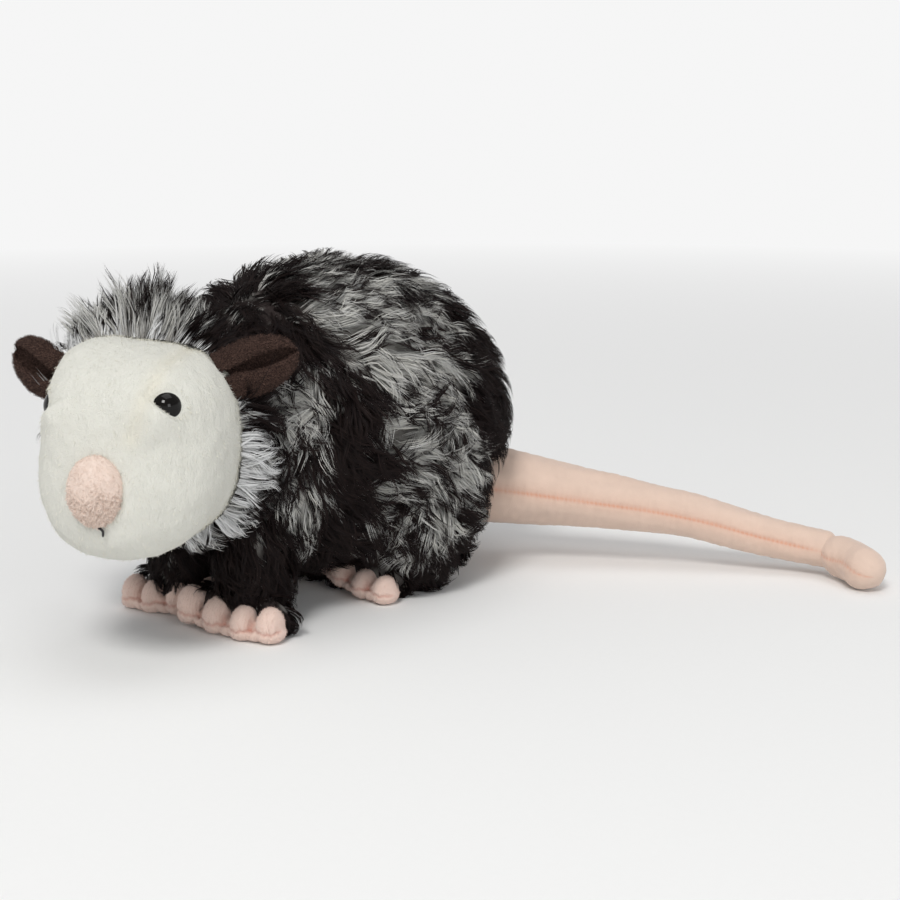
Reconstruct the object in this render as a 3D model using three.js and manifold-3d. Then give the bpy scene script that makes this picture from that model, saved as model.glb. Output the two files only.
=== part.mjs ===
// Plush toy opossum, crouching on its four feet with the tail laid out behind.
// Millimetres, +Z up. The toy's front looks towards -Y, its left side is +X, the floor is z = 0.
import * as THREE from 'three';
import { mergeVertices } from 'three/addons/utils/BufferGeometryUtils.js';
import Module from 'manifold-3d';

const wasm = await Module();
wasm.setup();

// Driving dimensions
const gap = 0.3;
const head = { width: 78, depth: 82, height: 82, turn: 27, at: [8.9, -133.5, 89] };
const muzzle = [{ aim: [0, -1, -0.75], by: 0.24, tight: 4 }];
const seamBack = -4;
const eyeSize = 13.5;
const eyeAt = { left: [22, 31, 20.5], right: [-22, 29.7, 18.5] };
const nose = { width: 23, depth: 17, height: 28, aside: -3, ahead: 45.5, up: -11.5 };
const stitch = { width: 1.2, depth: 2.8, height: 4.4, aside: -0.8, ahead: 46.3, up: -27 };
const ear = { length: 33, width: 34, thickness: 4.5 };
const earRoots = { left: [30, -3, 28.5], right: [-37, -3, 25] };
const trunk = { width: 116, length: 176, height: 134, at: [0, -14, 80] };
const shoulders = { aim: [0, -0.75, 0.66], by: 0.12, tight: 6 };
const rump = { aim: [0, 0.95, -0.05], by: 0.09, tight: 5 };
const hip = { aim: [0.8, 0.35, -0.5], by: 0.1, tight: 8 };
const flank = { aim: [0.9, -0.25, -0.3], by: -0.06, tight: 14 };
const haunch = { radii: [26, 34, 45], at: [32, 5, 46], inside: 6 };
const foreleg = { radii: [13, 14, 33], at: [21, -88, 33] };
const feet = [
  { name: 'front_foot_left', s: 1, at: [21, -103], turn: 12, pitch: 14.4 },
  { name: 'front_foot_right', s: -1, at: [-21, -98], turn: 10, pitch: 11.8 },
  { name: 'hind_foot_left', s: 1, at: [23, -26], turn: 0, pitch: 13.5 },
  { name: 'hind_foot_right', s: -1, at: [-25, -26], turn: 0, pitch: 13.5 },
];
const toe = { width: 15, length: 17, height: 18, up: 7.5 };
const toeBack = [3, 0, 0, 2];
const toeLift = [4, 1.5, 0, 0];
const pad = { back: 7, up: 7.5, length: 18, height: 18 };
const tail = { root: 21.5, end: 9, taper: 2.4, rounding: 0.06 };
const tailPath = [[20, 55, 40], [68, 88, 32.5], [114, 113, 26], [156, 134, 16], [184, 144, 12]];
const tailTip = { radius: 10, rounding: 0.3 };
const tailTipPath = [[178, 142, 13], [196, 137.5, 10.5], [212, 126, 8.5]];

// Coat: pile is how far the locks reach out, felt the dense part below them
const pile = 9;
const felt = 4;
const lock = { length: 34, width: 22, thickness: 6, rings: 3 };
const crestHeight = 26;
const headRows = { backs: [0.1, 0.5], around: 22, width: 14.3 };
const lockCount = { frontLeg: 12, hindLeg: 28, torso: 100 };

const degrees = THREE.MathUtils.degToRad;
const vec = (list) => new THREE.Vector3(...list);
const reach = 600;

// One seeded stream of numbers from 0 to 1 for each coat
function draws(seed) {
  let s = seed;
  return () => {
    s = (s + 0x6d2b79f5) | 0;
    let t = Math.imul(s ^ (s >>> 15), 1 | s);
    t = (t + Math.imul(t ^ (t >>> 7), 61 | t)) ^ t;
    return ((t ^ (t >>> 14)) >>> 0) / 4294967296;
  };
}

// Turns a closed geometry into a solid
function solid(geometry) {
  geometry.deleteAttribute('normal');
  geometry.deleteAttribute('uv');
  const m = mergeVertices(geometry, 1e-4);
  return new wasm.Manifold(new wasm.Mesh({
    numProp: 3,
    vertProperties: new Float32Array(m.attributes.position.array),
    triVerts: new Uint32Array(m.index.array),
  }));
}

// Moves each point of a geometry by a formula
function moved(geometry, formula) {
  const p = geometry.attributes.position;
  const v = new THREE.Vector3();
  for (let i = 0; i < p.count; i++) {
    const q = formula(v.fromBufferAttribute(p, i));
    p.setXYZ(i, q.x, q.y, q.z);
  }
  return geometry;
}

// A ball with its poles along Z, shaped by a formula of the direction
function shaped(around, along, formula) {
  const g = new THREE.SphereGeometry(1, around, along);
  g.rotateX(Math.PI / 2);
  return solid(moved(g, (v) => formula(v.normalize())));
}

// Half space: a large box on the side that the normal points to
function side(point, normal) {
  const g = new THREE.BoxGeometry(reach, reach, reach);
  g.translate(0, 0, reach / 2);
  g.applyQuaternion(new THREE.Quaternion().setFromUnitVectors(new THREE.Vector3(0, 0, 1), normal));
  g.translate(point.x, point.y, point.z);
  return solid(g);
}

function largest(body) {
  return body.decompose().reduce((a, b) => (b.volume() > a.volume() ? b : a));
}

// A form is a ball stretched to three radii about a centre, in its own axes, with swellings.
// at(d, grow) is its point in direction d, moved out by grow, toward(p) is the direction of a point,
// and holds(p, grow) says whether the form, moved out by grow, holds the point.
function form({ at, radii, turn = 0, boxy = 2, swell = () => 1 }) {
  const centre = vec(at);
  const size = vec(radii);
  const up = new THREE.Vector3(0, 0, 1);
  const spin = degrees(turn);
  return {
    at(d, grow) {
      const sum = Math.abs(d.x) ** boxy + Math.abs(d.y) ** boxy + Math.abs(d.z) ** boxy;
      const k = swell(d) * sum ** (-1 / boxy);
      return new THREE.Vector3(
        d.x * (size.x * k + grow), d.y * (size.y * k + grow), d.z * (size.z * k + grow),
      ).applyAxisAngle(up, spin).add(centre);
    },
    toward(p) {
      return p.clone().sub(centre).applyAxisAngle(up, -spin).divide(size).normalize();
    },
    holds(p, grow) {
      return p.distanceTo(centre) < this.at(this.toward(p), grow).distanceTo(centre);
    },
    solid(grow, around, along) {
      return shaped(around, along, (d) => this.at(d, grow));
    },
  };
}

// Sum of smooth swellings, each towards its own aim
function swellings(list) {
  const all = list.map(({ aim, by, tight }) => ({ aim: vec(aim).normalize(), by, tight }));
  return (d) => all.reduce((k, s) => k + s.by * Math.exp(s.tight * (d.dot(s.aim) - 1)), 1);
}

// The head is turned to its left: x is to its left, y backwards, z up
const skull = form({
  at: head.at,
  radii: [head.width / 2, head.depth / 2, head.height / 2],
  turn: head.turn,
  boxy: 2.8,
  swell: swellings(muzzle),
});
const headAhead = new THREE.Vector3(Math.sin(degrees(head.turn)), -Math.cos(degrees(head.turn)), 0);
const headLeft = new THREE.Vector3(-headAhead.y, headAhead.x, 0);
function onHead(aside, ahead, up) {
  return vec(head.at)
    .addScaledVector(headLeft, aside)
    .addScaledVector(headAhead, ahead)
    .add(new THREE.Vector3(0, 0, up));
}

const mirrored = (at, s) => [at[0] * s, at[1], at[2]];
const body = form({
  at: trunk.at,
  radii: [trunk.width / 2, trunk.length / 2, trunk.height / 2],
  swell: swellings([
    shoulders, rump, hip, { ...hip, aim: mirrored(hip.aim, -1) },
    flank, { ...flank, aim: mirrored(flank.aim, -1) },
  ]),
});
const thigh = (s) => form({ at: mirrored(haunch.at, s), radii: haunch.radii });
const arm = (s) => form({ at: mirrored(foreleg.at, s), radii: foreleg.radii });

// One flat tapered lock on a form. It starts sunk in the felt, runs along its lie over the form
// and rises to the tips of the pile, growing wider and then narrowing to a point.
function lockSolid(shape, { d, lie, run, rise, width, thickness }, grow) {
  const start = shape.at(d, 0);
  const path = (t) => {
    const onward = start.clone().addScaledVector(lie, run * t);
    const height = THREE.MathUtils.lerp(0.5, rise, 1 - Math.max(0, 1 - t) ** 2);
    return shape.at(shape.toward(onward), height);
  };
  const g = new THREE.ConeGeometry(1, 1, 4, lock.rings);
  const first = -2 * grow / run;
  const last = 1 + 8 * grow / run;
  return solid(moved(g, (v) => {
    const t = THREE.MathUtils.lerp(first, last, v.y + 0.5);
    const here = path(t);
    const ahead = path(t + 0.02).sub(here).normalize();
    const out = here.clone().sub(shape.at(shape.toward(here), -20)).normalize();
    const across = new THREE.Vector3().crossVectors(ahead, out).normalize();
    const lift = new THREE.Vector3().crossVectors(across, ahead);
    const flat = Math.hypot(v.x, v.z);
    if (flat < 1e-6) {
      return here;
    }
    const taper = 1 - (Math.max(0, t) / last) ** 2.2;
    const w = (width / 2 * (0.8 + 0.6 * t) + 3 * grow) * taper;
    const h = (thickness / 2 * (1 - 0.5 * t) + 3.5 * grow) * taper;
    return here.addScaledVector(across, w * v.x / flat).addScaledVector(lift, h * v.z / flat);
  }));
}

// Directions spread evenly over a ball, moved a little by the seeded draws
function spread(count, random) {
  const list = [];
  const golden = Math.PI * (3 - Math.sqrt(5));
  for (let i = 0; i < count; i++) {
    const z = 1 - 2 * (i + 0.5) / count;
    const a = golden * i + (random() - 0.5) * 0.25;
    const r = Math.sqrt(1 - z * z);
    list.push(new THREE.Vector3(r * Math.cos(a), r * Math.sin(a), z));
  }
  return list;
}

// Locks of one coat: lay(p, out) gives the lie at a point and how the lock stands there, or null
function coat(shape, count, seed, lay) {
  const random = draws(seed);
  const locks = [];
  for (const d of spread(count, random)) {
    const p = shape.at(d, pile);
    const out = p.clone().sub(shape.at(d, 0)).normalize();
    const spec = lay(p, out);
    const vary = 0.85 + 0.3 * random();
    const swerve = (random() - 0.5) * 0.5;
    if (spec) {
      const lie = spec.lie.clone().addScaledVector(out, -spec.lie.dot(out)).normalize();
      lie.applyAxisAngle(out, swerve);
      locks.push({
        d, lie,
        run: lock.length * (spec.run ?? 1) * vary,
        rise: (spec.rise ?? pile) + 2.5 * random(),
        width: lock.width * vary,
        thickness: lock.thickness,
      });
    }
  }
  return locks;
}

function furred(shape, locks, around, along) {
  return (grow) => locks.reduce(
    (all, l) => all.add(lockSolid(shape, l, grow)),
    shape.solid(felt + grow, around, along),
  );
}

const makers = new Map();
function piece(name, finish, make, clearOf = []) {
  makers.set(name, { finish, make, clearOf });
}
const sides = [['left', 1], ['right', -1]];

// Eyes, nose, mouth and face
for (const [name] of sides) {
  const ball = form({
    at: onHead(...eyeAt[name]).toArray(), radii: [eyeSize / 2, eyeSize / 2, eyeSize / 2],
  });
  piece(`eye_${name}`, 'eye', (grow) => ball.solid(grow, 12, 8));
}
function faceDetail({ width, depth, height, aside, ahead, up }) {
  return form({
    at: onHead(aside, ahead, up).toArray(), radii: [width / 2, depth / 2, height / 2], turn: head.turn,
  });
}
piece('nose', 'pink', (grow) => faceDetail(nose).solid(grow, 14, 9));
piece('mouth_stitch', 'thread', (grow) => faceDetail(stitch).solid(grow, 6, 5), ['nose']);
const seam = onHead(0, seamBack, 0);
piece('face', 'face', (grow) => skull.solid(grow, 20, 12).intersect(
  side(seam.clone().addScaledVector(headAhead, -grow), headAhead)),
['eye_left', 'eye_right', 'nose', 'mouth_stitch']);

// Ears: a felt leaf bent round its length like a scoop, open to the front
function earSolid(s, [aside, back, up], grow) {
  const along = new THREE.Vector3(s * 0.86, -0.45, 0.14).normalize();
  const open = new THREE.Vector3(s * 0.35, 0.9, -0.05);
  open.addScaledVector(along, -open.dot(along)).normalize();
  const across = new THREE.Vector3().crossVectors(along, open);
  return shaped(14, 10, (d) => {
    const t = (d.x + 1) / 2;
    const bend = THREE.MathUtils.lerp(1.35, 0.95, t);
    const radius = ear.width / 2 / bend;
    const half = Math.sign(d.y) * Math.sqrt(Math.abs(d.y)) * (ear.thickness / 2 + grow);
    const angle = d.z * bend * THREE.MathUtils.lerp(0.75, 1, t) * (1 + 2 * grow / ear.width);
    const u = t * (ear.length + 2 * grow) - grow;
    const a = (radius + half) * Math.sin(angle);
    const o = radius - (radius + half) * Math.cos(angle);
    const place = (key) => along[key] * u + across[key] * a + open[key] * o;
    return onHead(aside + place('x'), back + place('y'), up + place('z'));
  });
}
for (const [name, s] of sides) {
  piece(`ear_${name}`, 'ear', (grow) => earSolid(s, earRoots[name], grow), ['face']);
}

// Feet: four toes side by side on a pad, flat where they meet the floor
for (const { name, s, at, turn, pitch } of feet) {
  const place = (aside, back) => {
    const a = degrees(turn);
    return [
      at[0] + aside * Math.cos(a) - back * Math.sin(a),
      at[1] + aside * Math.sin(a) + back * Math.cos(a),
    ];
  };
  const sole = form({
    at: [...place(0, pad.back), pad.up], radii: [pitch * 1.5, pad.length / 2, pad.height / 2], turn,
  });
  const toes = toeBack.map((back, i) => form({
    at: [...place((i - 1.5) * pitch * s, back), toe.up + toeLift[i]],
    radii: [toe.width / 2, toe.length / 2, toe.height / 2],
    turn,
  }));
  piece(name, 'pink', (grow) => toes.reduce((all, t) => all.add(t.solid(grow, 9, 6)),
    sole.solid(grow, 10, 5)), s < 0 ? [name.replace('right', 'left')] : []);
}

// Tail: a tapering stuffed tube, and the last piece sewn on at an angle
function tube(points, radiusAt, rounding, grow, around, along) {
  const path = new THREE.CatmullRomCurve3(points.map(vec));
  return shaped(around, along, (d) => {
    const t = Math.acos(THREE.MathUtils.clamp(-d.z, -1, 1)) / Math.PI;
    const run = path.getTangent(t);
    const sideways = new THREE.Vector3(0, 0, 1).cross(run).normalize();
    const up = new THREE.Vector3().crossVectors(run, sideways);
    const near = Math.min(t, 1 - t) / rounding;
    const closing = near < 1 ? Math.sqrt(1 - (1 - near) ** 2) : 1;
    const beyond = near < 1 ? (1 - near) * grow * Math.sign(t - 0.5) : 0;
    const flat = Math.hypot(d.x, d.y);
    const r = flat < 1e-6 ? 0 : (radiusAt(t) + grow) * closing / flat;
    return path.getPoint(t)
      .addScaledVector(run, beyond)
      .addScaledVector(sideways, r * d.x)
      .addScaledVector(up, r * d.y);
  });
}
piece('tail_tip', 'tail', (grow) => tube(
  tailTipPath, () => tailTip.radius, tailTip.rounding, grow, 12, 8));
const tailRadius = (t) => tail.end + (tail.root - tail.end) * (1 - t) ** tail.taper;
piece('tail', 'tail', (grow) => tube(tailPath, tailRadius, tail.rounding, grow, 14, 14), ['tail_tip']);

// Back of the head: rows of locks round the head behind the seam. They stand up as a crest on top
// and lean back as a ruff at the cheeks.
const headDraw = draws(11);
const headLocks = [];
for (const [row, back] of headRows.backs.entries()) {
  for (let k = 0; k < headRows.around; k++) {
    const a = 2 * Math.PI * (k + row / 2) / headRows.around;
    const d = new THREE.Vector3(Math.sin(a), back, Math.cos(a)).normalize();
    const vary = 0.85 + 0.3 * headDraw();
    if (!body.holds(skull.at(d, pile), -4)) {
      const crest = THREE.MathUtils.smoothstep(Math.cos(a), 0.5, 0.75) * (1 - 0.3 * row);
      const lie = headLeft.clone().multiplyScalar(Math.sin(a) * crest).addScaledVector(headAhead, crest - 1);
      headLocks.push({
        d,
        lie: lie.normalize(),
        run: lock.length * vary * THREE.MathUtils.lerp(0.65, 0.2, crest),
        rise: THREE.MathUtils.lerp(pile + 2, crestHeight, crest) * vary,
        width: headRows.width * vary,
        thickness: lock.thickness,
      });
    }
  }
}
const backOfHead = furred(skull, headLocks, 16, 11);
piece('head', 'fur', (grow) => backOfHead(grow).intersect(
  side(seam.clone().addScaledVector(headAhead, grow), headAhead.clone().negate())),
['face', 'ear_left', 'ear_right']);

// Legs and trunk, their pile lying backwards and down
for (const [name, s] of sides) {
  const shape = arm(s);
  const locks = coat(shape, lockCount.frontLeg, 23 + s, (p) => (
    p.z > 62 || p.z < 14 || skull.holds(p, 4) || body.holds(p, 0) ? null
      : { lie: new THREE.Vector3(0.3 * s, 0.3, -1), run: 0.75, rise: 7 }));
  piece(`front_leg_${name}`, 'fur', furred(shape, locks, 10, 7), [
    'front_foot_left', 'front_foot_right', 'face', 'head', ...(s < 0 ? ['front_leg_left'] : []),
  ]);
}
for (const [name, s] of sides) {
  const shape = thigh(s);
  const locks = coat(shape, lockCount.hindLeg, 37 + s, (p) => (
    p.z < 9 || p.x * s < 14 || body.holds(p, -3) ? null
      : { lie: new THREE.Vector3(0.2 * s, 0.8, -0.7) }));
  const leg = furred(shape, locks, 12, 8);
  piece(`hind_leg_${name}`, 'fur', (grow) => leg(grow).intersect(
    side(new THREE.Vector3(s * (haunch.inside - grow), 0, 0), new THREE.Vector3(s, 0, 0))),
  ['hind_foot_left', 'hind_foot_right', 'tail']);
}
const bodyLocks = coat(body, lockCount.torso, 5, (p) => {
  if (p.z < 30 || p.y < -92 || skull.holds(p, 2) || thigh(1).holds(p, 5) || thigh(-1).holds(p, 5)) {
    return null;
  }
  return { lie: new THREE.Vector3(p.x * 0.012, 1, -0.35 - 0.01 * Math.max(0, p.y)) };
});
piece('torso', 'fur', furred(body, bodyLocks, 18, 12), [...makers.keys()].filter((n) => (
  !/eye|nose|stitch|tip/.test(n))));

const finishes = {
  fur: [0x2b2426, 0.95],
  face: [0xe9e8e0, 0.95],
  ear: [0x3f2b24, 0.9],
  pink: [0xe8c5b6, 0.9],
  tail: [0xdcc3b2, 0.9],
  eye: [0x0b0b0d, 0.12],
  thread: [0x141214, 0.7],
};
const floor = side(new THREE.Vector3(), new THREE.Vector3(0, 0, 1));
const group = new THREE.Group();
for (const [name, { finish, make, clearOf }] of makers) {
  const whole = clearOf.reduce((rest, other) => rest.subtract(makers.get(other).make(gap)),
    make(0).intersect(floor));
  const m = largest(whole).getMesh();
  const g = new THREE.BufferGeometry();
  g.setAttribute('position', new THREE.BufferAttribute(m.vertProperties, 3));
  g.setIndex(new THREE.BufferAttribute(m.triVerts, 1));
  g.computeVertexNormals();
  const [color, roughness] = finishes[finish];
  const mesh = new THREE.Mesh(g, new THREE.MeshStandardMaterial({ color, roughness, metalness: 0 }));
  mesh.name = name;
  group.add(mesh);
}

// The origin goes to the middle of the box the toy fills, at floor level
const middle = new THREE.Box3().setFromObject(group).getCenter(new THREE.Vector3());
for (const mesh of group.children) {
  mesh.geometry.translate(-middle.x, -middle.y, 0);
}
export default group;
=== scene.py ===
import bpy
import numpy as np
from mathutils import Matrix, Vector


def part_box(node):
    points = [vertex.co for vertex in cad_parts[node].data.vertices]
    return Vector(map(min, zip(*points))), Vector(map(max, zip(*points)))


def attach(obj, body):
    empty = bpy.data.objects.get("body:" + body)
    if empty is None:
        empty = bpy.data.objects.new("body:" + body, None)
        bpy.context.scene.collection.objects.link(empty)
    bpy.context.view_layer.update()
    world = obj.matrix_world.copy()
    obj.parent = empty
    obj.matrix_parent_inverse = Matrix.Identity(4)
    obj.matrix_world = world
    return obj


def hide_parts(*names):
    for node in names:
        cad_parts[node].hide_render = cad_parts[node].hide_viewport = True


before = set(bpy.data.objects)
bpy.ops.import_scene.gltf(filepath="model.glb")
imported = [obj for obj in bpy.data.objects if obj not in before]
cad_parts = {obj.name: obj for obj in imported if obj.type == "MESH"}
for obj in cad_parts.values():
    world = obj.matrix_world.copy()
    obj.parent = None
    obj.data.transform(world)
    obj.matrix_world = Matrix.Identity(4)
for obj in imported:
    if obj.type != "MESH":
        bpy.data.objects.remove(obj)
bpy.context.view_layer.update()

# Shapes are worked out in the toy's own frame, in millimetres: it faces -Y, its left is +X and the floor is 0.
# A place on the head is given as (aside, ahead, up), aside to the toy's left.
head = {"at": (8.9, -133.5, 89.0), "turn": 27.0, "seam": -4.0, "middle": -3.0}
eyeAt = {"left": (22.0, 31.0, 20.5), "right": (-27.0, 25.6, 18.5)}
eyeSize = 13.5
turned = np.radians(head["turn"])
headAhead = np.array((np.sin(turned), -np.cos(turned), 0.0))
headLeft = np.array((np.cos(turned), np.sin(turned), 0.0))
upward = np.array((0.0, 0.0, 1.0))


def onHead(place):
    # The head's middle + aside * left + ahead * the way it faces + up
    place = np.asarray(place, float)
    return np.array(head["at"]) + place[..., :1] * headLeft + place[..., 1:2] * headAhead + place[..., 2:] * upward


def headPlace(p):
    # The (aside, ahead, up) of a point: its offset from the head's middle along each of those directions
    away = p - np.array(head["at"])
    return np.stack((away @ headLeft, away @ headAhead, away[..., 2]), -1)


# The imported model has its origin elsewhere, so the shift is read off the left eye
eyeBox = np.array(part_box("eye_left"))
shift = eyeBox.mean(0) * 1000 - onHead(eyeAt["left"])


def toWorld(p):  # millimetres in the toy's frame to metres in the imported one
    return (p + shift) / 1000


def unit(v):
    return v / np.maximum(np.linalg.norm(v, axis=-1, keepdims=True), 1e-9)


def alongSurface(lie, normal):
    # The lie less its share along the normal, as a unit vector
    return unit(lie - (lie * normal).sum(-1, keepdims=True) * normal)


def smoothStep(low, high, x):
    # From 0 at low to 1 at high as t^2 * (3 - 2t), also where low is the larger one
    t = np.clip((x - low) / (high - low), 0, 1)
    return t * t * (3 - 2 * t)


def waves(p, size, seed, count=20):
    # Smooth random field of about -1 to 1: sines along random directions, about size mm from crest to crest
    rng = np.random.default_rng(seed)
    k = unit(rng.normal(size=(count, 3))) * (2 * np.pi / size) * rng.uniform(0.7, 1.4, (count, 1))
    return np.sin(p @ k.T + rng.uniform(0, 2 * np.pi, count)).sum(-1) / np.sqrt(count)


class Form:
    # A ball stretched to three radii about a centre, in its own axes, with smooth swellings.
    # point: centre + turned(d * (radii * k + grow)), k = (1 + sum of by * exp(tight * (d.aim - 1))) / norm,
    # where norm is (|x|^boxy + |y|^boxy + |z|^boxy)^(1/boxy) of the direction d
    def __init__(self, at, radii, turn=0.0, boxy=2.0, swellings=()):
        self.at, self.radii, self.boxy = np.array(at, float), np.array(radii, float), boxy
        self.swellings = [(unit(np.array(aim, float)), by, tight) for aim, by, tight in swellings]
        c, s = np.cos(np.radians(turn)), np.sin(np.radians(turn))
        self.spin = np.array(((c, s, 0), (-s, c, 0), (0, 0, 1)))

    def point(self, d, grow=0.0):
        k = 1 + sum(by * np.exp(tight * (d @ aim - 1)) for aim, by, tight in self.swellings)
        k = k * (np.abs(d) ** self.boxy).sum(-1) ** (-1 / self.boxy)
        grow = np.broadcast_to(grow, d.shape[:-1])
        return (d * (self.radii * k[..., None] + grow[..., None])) @ self.spin + self.at

    def toward(self, p):  # the direction whose line from the centre goes through p
        return unit((p - self.at) @ self.spin.T / self.radii)

    def outside(self, p):
        # How far a point lies outside the form, along the line from its centre
        surface = self.point(self.toward(p))
        return np.linalg.norm(p - self.at, axis=-1) - np.linalg.norm(surface - self.at, axis=-1)

    def normal(self, d):
        # The cross product of two small steps on the surface, and its length, which grows with the area there
        a = unit(np.cross(d, np.where(np.abs(d[..., 2:]) < 0.9, (0.0, 0.0, 1.0), (1.0, 0.0, 0.0))))
        b = np.cross(d, a)
        step = 1e-3
        p = self.point(d)
        n = np.cross(self.point(unit(d + step * a)) - p, self.point(unit(d + step * b)) - p)
        area = np.linalg.norm(n, axis=-1)
        flip = np.sign((n * (p - self.at)).sum(-1, keepdims=True))
        return unit(n) * flip, area

    def scatter(self, count, rng, keep):
        # Points spread evenly by area over the part of the surface that keep allows
        d = unit(rng.normal(size=(count * 30, 3)))
        n, area = self.normal(d)
        p = self.point(d)
        ok = keep(p) & (rng.random(len(d)) < area / area.max())
        return p[ok][:count], n[ok][:count]


skull = Form(head["at"], (39, 41, 41), head["turn"], 2.8, [
    ((0, -1, -0.75), 0.24, 4), ((0.75, -0.3, -0.85), -0.085, 10),
    ((-0.6, -0.05, 0.8), 0.09, 12), ((-1, -0.2, 0.35), -0.05, 14)])
sides = (("left", 1), ("right", -1))
trunk = Form((0, -14, 80), (58, 88, 67), swellings=[
    ((0, -0.75, 0.66), 0.12, 6), ((0, 0.95, -0.05), 0.09, 5),
    *[((x * s, y, z), by, tight) for x, y, z, by, tight in (
        (0.8, 0.35, -0.5, 0.1, 8), (0.9, -0.25, -0.3, -0.08, 14), (0.5, 0.6, -0.62, -0.07, 14))
      for _, s in sides]])
thigh = {name: Form((32 * s, 5, 46), (26, 34, 45), swellings=[
    ((0, 0.75, -0.65), -0.28, 5), ((0.25 * s, 0.5, -0.84), -0.08, 10)]) for name, s in sides}
arm = {name: Form((21 * s, -88, 33), (13, 14, 33)) for name, s in sides}


class Wire:  # a node's output that takes part in sums and products
    def __init__(self, finish, socket):
        self.finish, self.socket = finish, socket

    def math(self, operation, a, b, clamp=False):
        settings = {"operation": operation, "use_clamp": clamp}
        return self.finish.node("ShaderNodeMath", settings, {0: a, 1: b})

    def __add__(self, other):
        return self.math("ADD", self, other)

    def __sub__(self, other):
        return self.math("SUBTRACT", self, other)

    def __rsub__(self, other):
        return self.math("SUBTRACT", other, self)

    def __mul__(self, other):
        return self.math("MULTIPLY", self, other)

    __radd__ = __add__
    __rmul__ = __mul__

    def clamped(self):
        return self.math("ADD", self, 0.0, True)

    def sine(self):
        return self.math("SINE", self, 0.0)


class Finish:
    def __init__(self, name):
        self.material = bpy.data.materials.new(name)
        self.material.use_nodes = True
        self.material.node_tree.nodes.clear()

    def node(self, kind, settings, sockets, out=0):
        # Settings are set first, then the sockets' values and links
        made = self.material.node_tree.nodes.new(kind)
        for key, value in settings.items():
            setattr(made, key, value)
        for key, value in sockets.items():
            if isinstance(value, Wire):
                self.material.node_tree.links.new(value.socket, made.inputs[key])
            else:
                made.inputs[key].default_value = value
        return Wire(self, made.outputs[out]) if len(made.outputs) else None

    def attribute(self, name):
        return self.node("ShaderNodeAttribute", {"attribute_name": name}, {}, "Fac")

    def place(self, stretch=(1, 1, 1)):
        coordinates = self.node("ShaderNodeTexCoord", {}, {}, "Object")
        return self.node("ShaderNodeMapping", {}, {"Vector": coordinates, "Scale": stretch})

    def noise(self, size, detail=3.0, stretch=(1, 1, 1)):
        # size is in millimetres
        return self.node("ShaderNodeTexNoise", {}, {
            "Vector": self.place(stretch), "Scale": 1000 / size, "Detail": detail}, "Fac")

    def mix(self, factor, a, b):
        return self.node("ShaderNodeMix", {"data_type": "RGBA"}, {0: factor, 6: rgb(a), 7: rgb(b)}, 2)

    def bump(self, height, depth):
        # depth is in millimetres
        return self.node("ShaderNodeBump", {}, {"Strength": 1.0, "Distance": depth / 1000, "Height": height})

    def surface(self, colour, **sockets):
        values = {"Base Color": rgb(colour)}
        values.update({key.replace("_", " "): value for key, value in sockets.items()})
        shader = self.node("ShaderNodeBsdfPrincipled", {}, values)
        self.node("ShaderNodeOutputMaterial", {}, {"Surface": shader})
        return self.material


def rgb(colour):  # a plain colour gets its alpha
    return colour if isinstance(colour, Wire) else (*colour, 1.0)


def makeMesh(name, points, faces, material, attributes=None, uv=None):
    # faces is a list of arrays of corner numbers, one array for each count of corners
    mesh = bpy.data.meshes.new(name)
    mesh.vertices.add(len(points))
    mesh.vertices.foreach_set("co", toWorld(points).astype(np.float32).ravel())
    loops = np.concatenate([f.ravel() for f in faces]).astype(np.int32)
    sizes = np.concatenate([np.full(len(f), f.shape[1]) for f in faces])
    mesh.loops.add(len(loops))
    mesh.loops.foreach_set("vertex_index", loops)
    mesh.polygons.add(len(sizes))
    mesh.polygons.foreach_set("loop_start", np.concatenate(([0], np.cumsum(sizes)[:-1])).astype(np.int32))
    mesh.polygons.foreach_set("use_smooth", np.ones(len(sizes), bool))
    mesh.update(calc_edges=True)
    for key, values in (attributes or {}).items():
        layer = mesh.attributes.new(key, "FLOAT", "POINT")
        layer.data.foreach_set("value", np.asarray(values, np.float32).ravel())
    if uv is not None:
        layer = mesh.uv_layers.new(name="OFBake")
        layer.data.foreach_set("uv", uv[loops].astype(np.float32).ravel())
    mesh.validate()
    mesh.materials.append(material)
    piece = bpy.data.objects.new(name, mesh)
    bpy.context.scene.collection.objects.link(piece)
    return piece


def gridFaces(rows, cols):
    # Quads of a grid that closes on itself along its columns
    i = np.arange(rows - 1)[:, None] * cols
    j = np.arange(cols)[None]
    k = (j + 1) % cols
    return np.stack((i + j, i + k, i + cols + k, i + cols + j), -1).reshape(-1, 4)


def closedGrid(grid):
    # A grid of rings becomes a closed skin: a point is set at the middle of the first and the last ring
    rows, cols = grid.shape[:2]
    points = np.concatenate((grid.reshape(-1, 3), [grid[0].mean(0)], [grid[-1].mean(0)]))
    j = np.arange(cols)
    k = (j + 1) % cols
    first = np.stack((k, j, np.full(cols, rows * cols)), -1)
    base = (rows - 1) * cols
    last = np.stack((base + j, base + k, np.full(cols, rows * cols + 1)), -1)
    return points, [gridFaces(rows, cols), np.concatenate((first, last))]


def withEnds(values):
    # An attribute of each grid point, with the mean of the end rings for the two added points
    return np.concatenate((values.ravel(), [values[0].mean()], [values[-1].mean()]))


def ballDirections(rows, cols):
    # Rings of directions round the Z axis, from the bottom up
    polar = np.pi * (1 - (np.arange(rows) + 0.5) / rows)[:, None]
    around = 2 * np.pi * np.arange(cols)[None] / cols
    return np.stack((np.sin(polar) * np.cos(around), np.sin(polar) * np.sin(around),
                     np.cos(polar) * np.ones_like(around)), -1)


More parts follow.
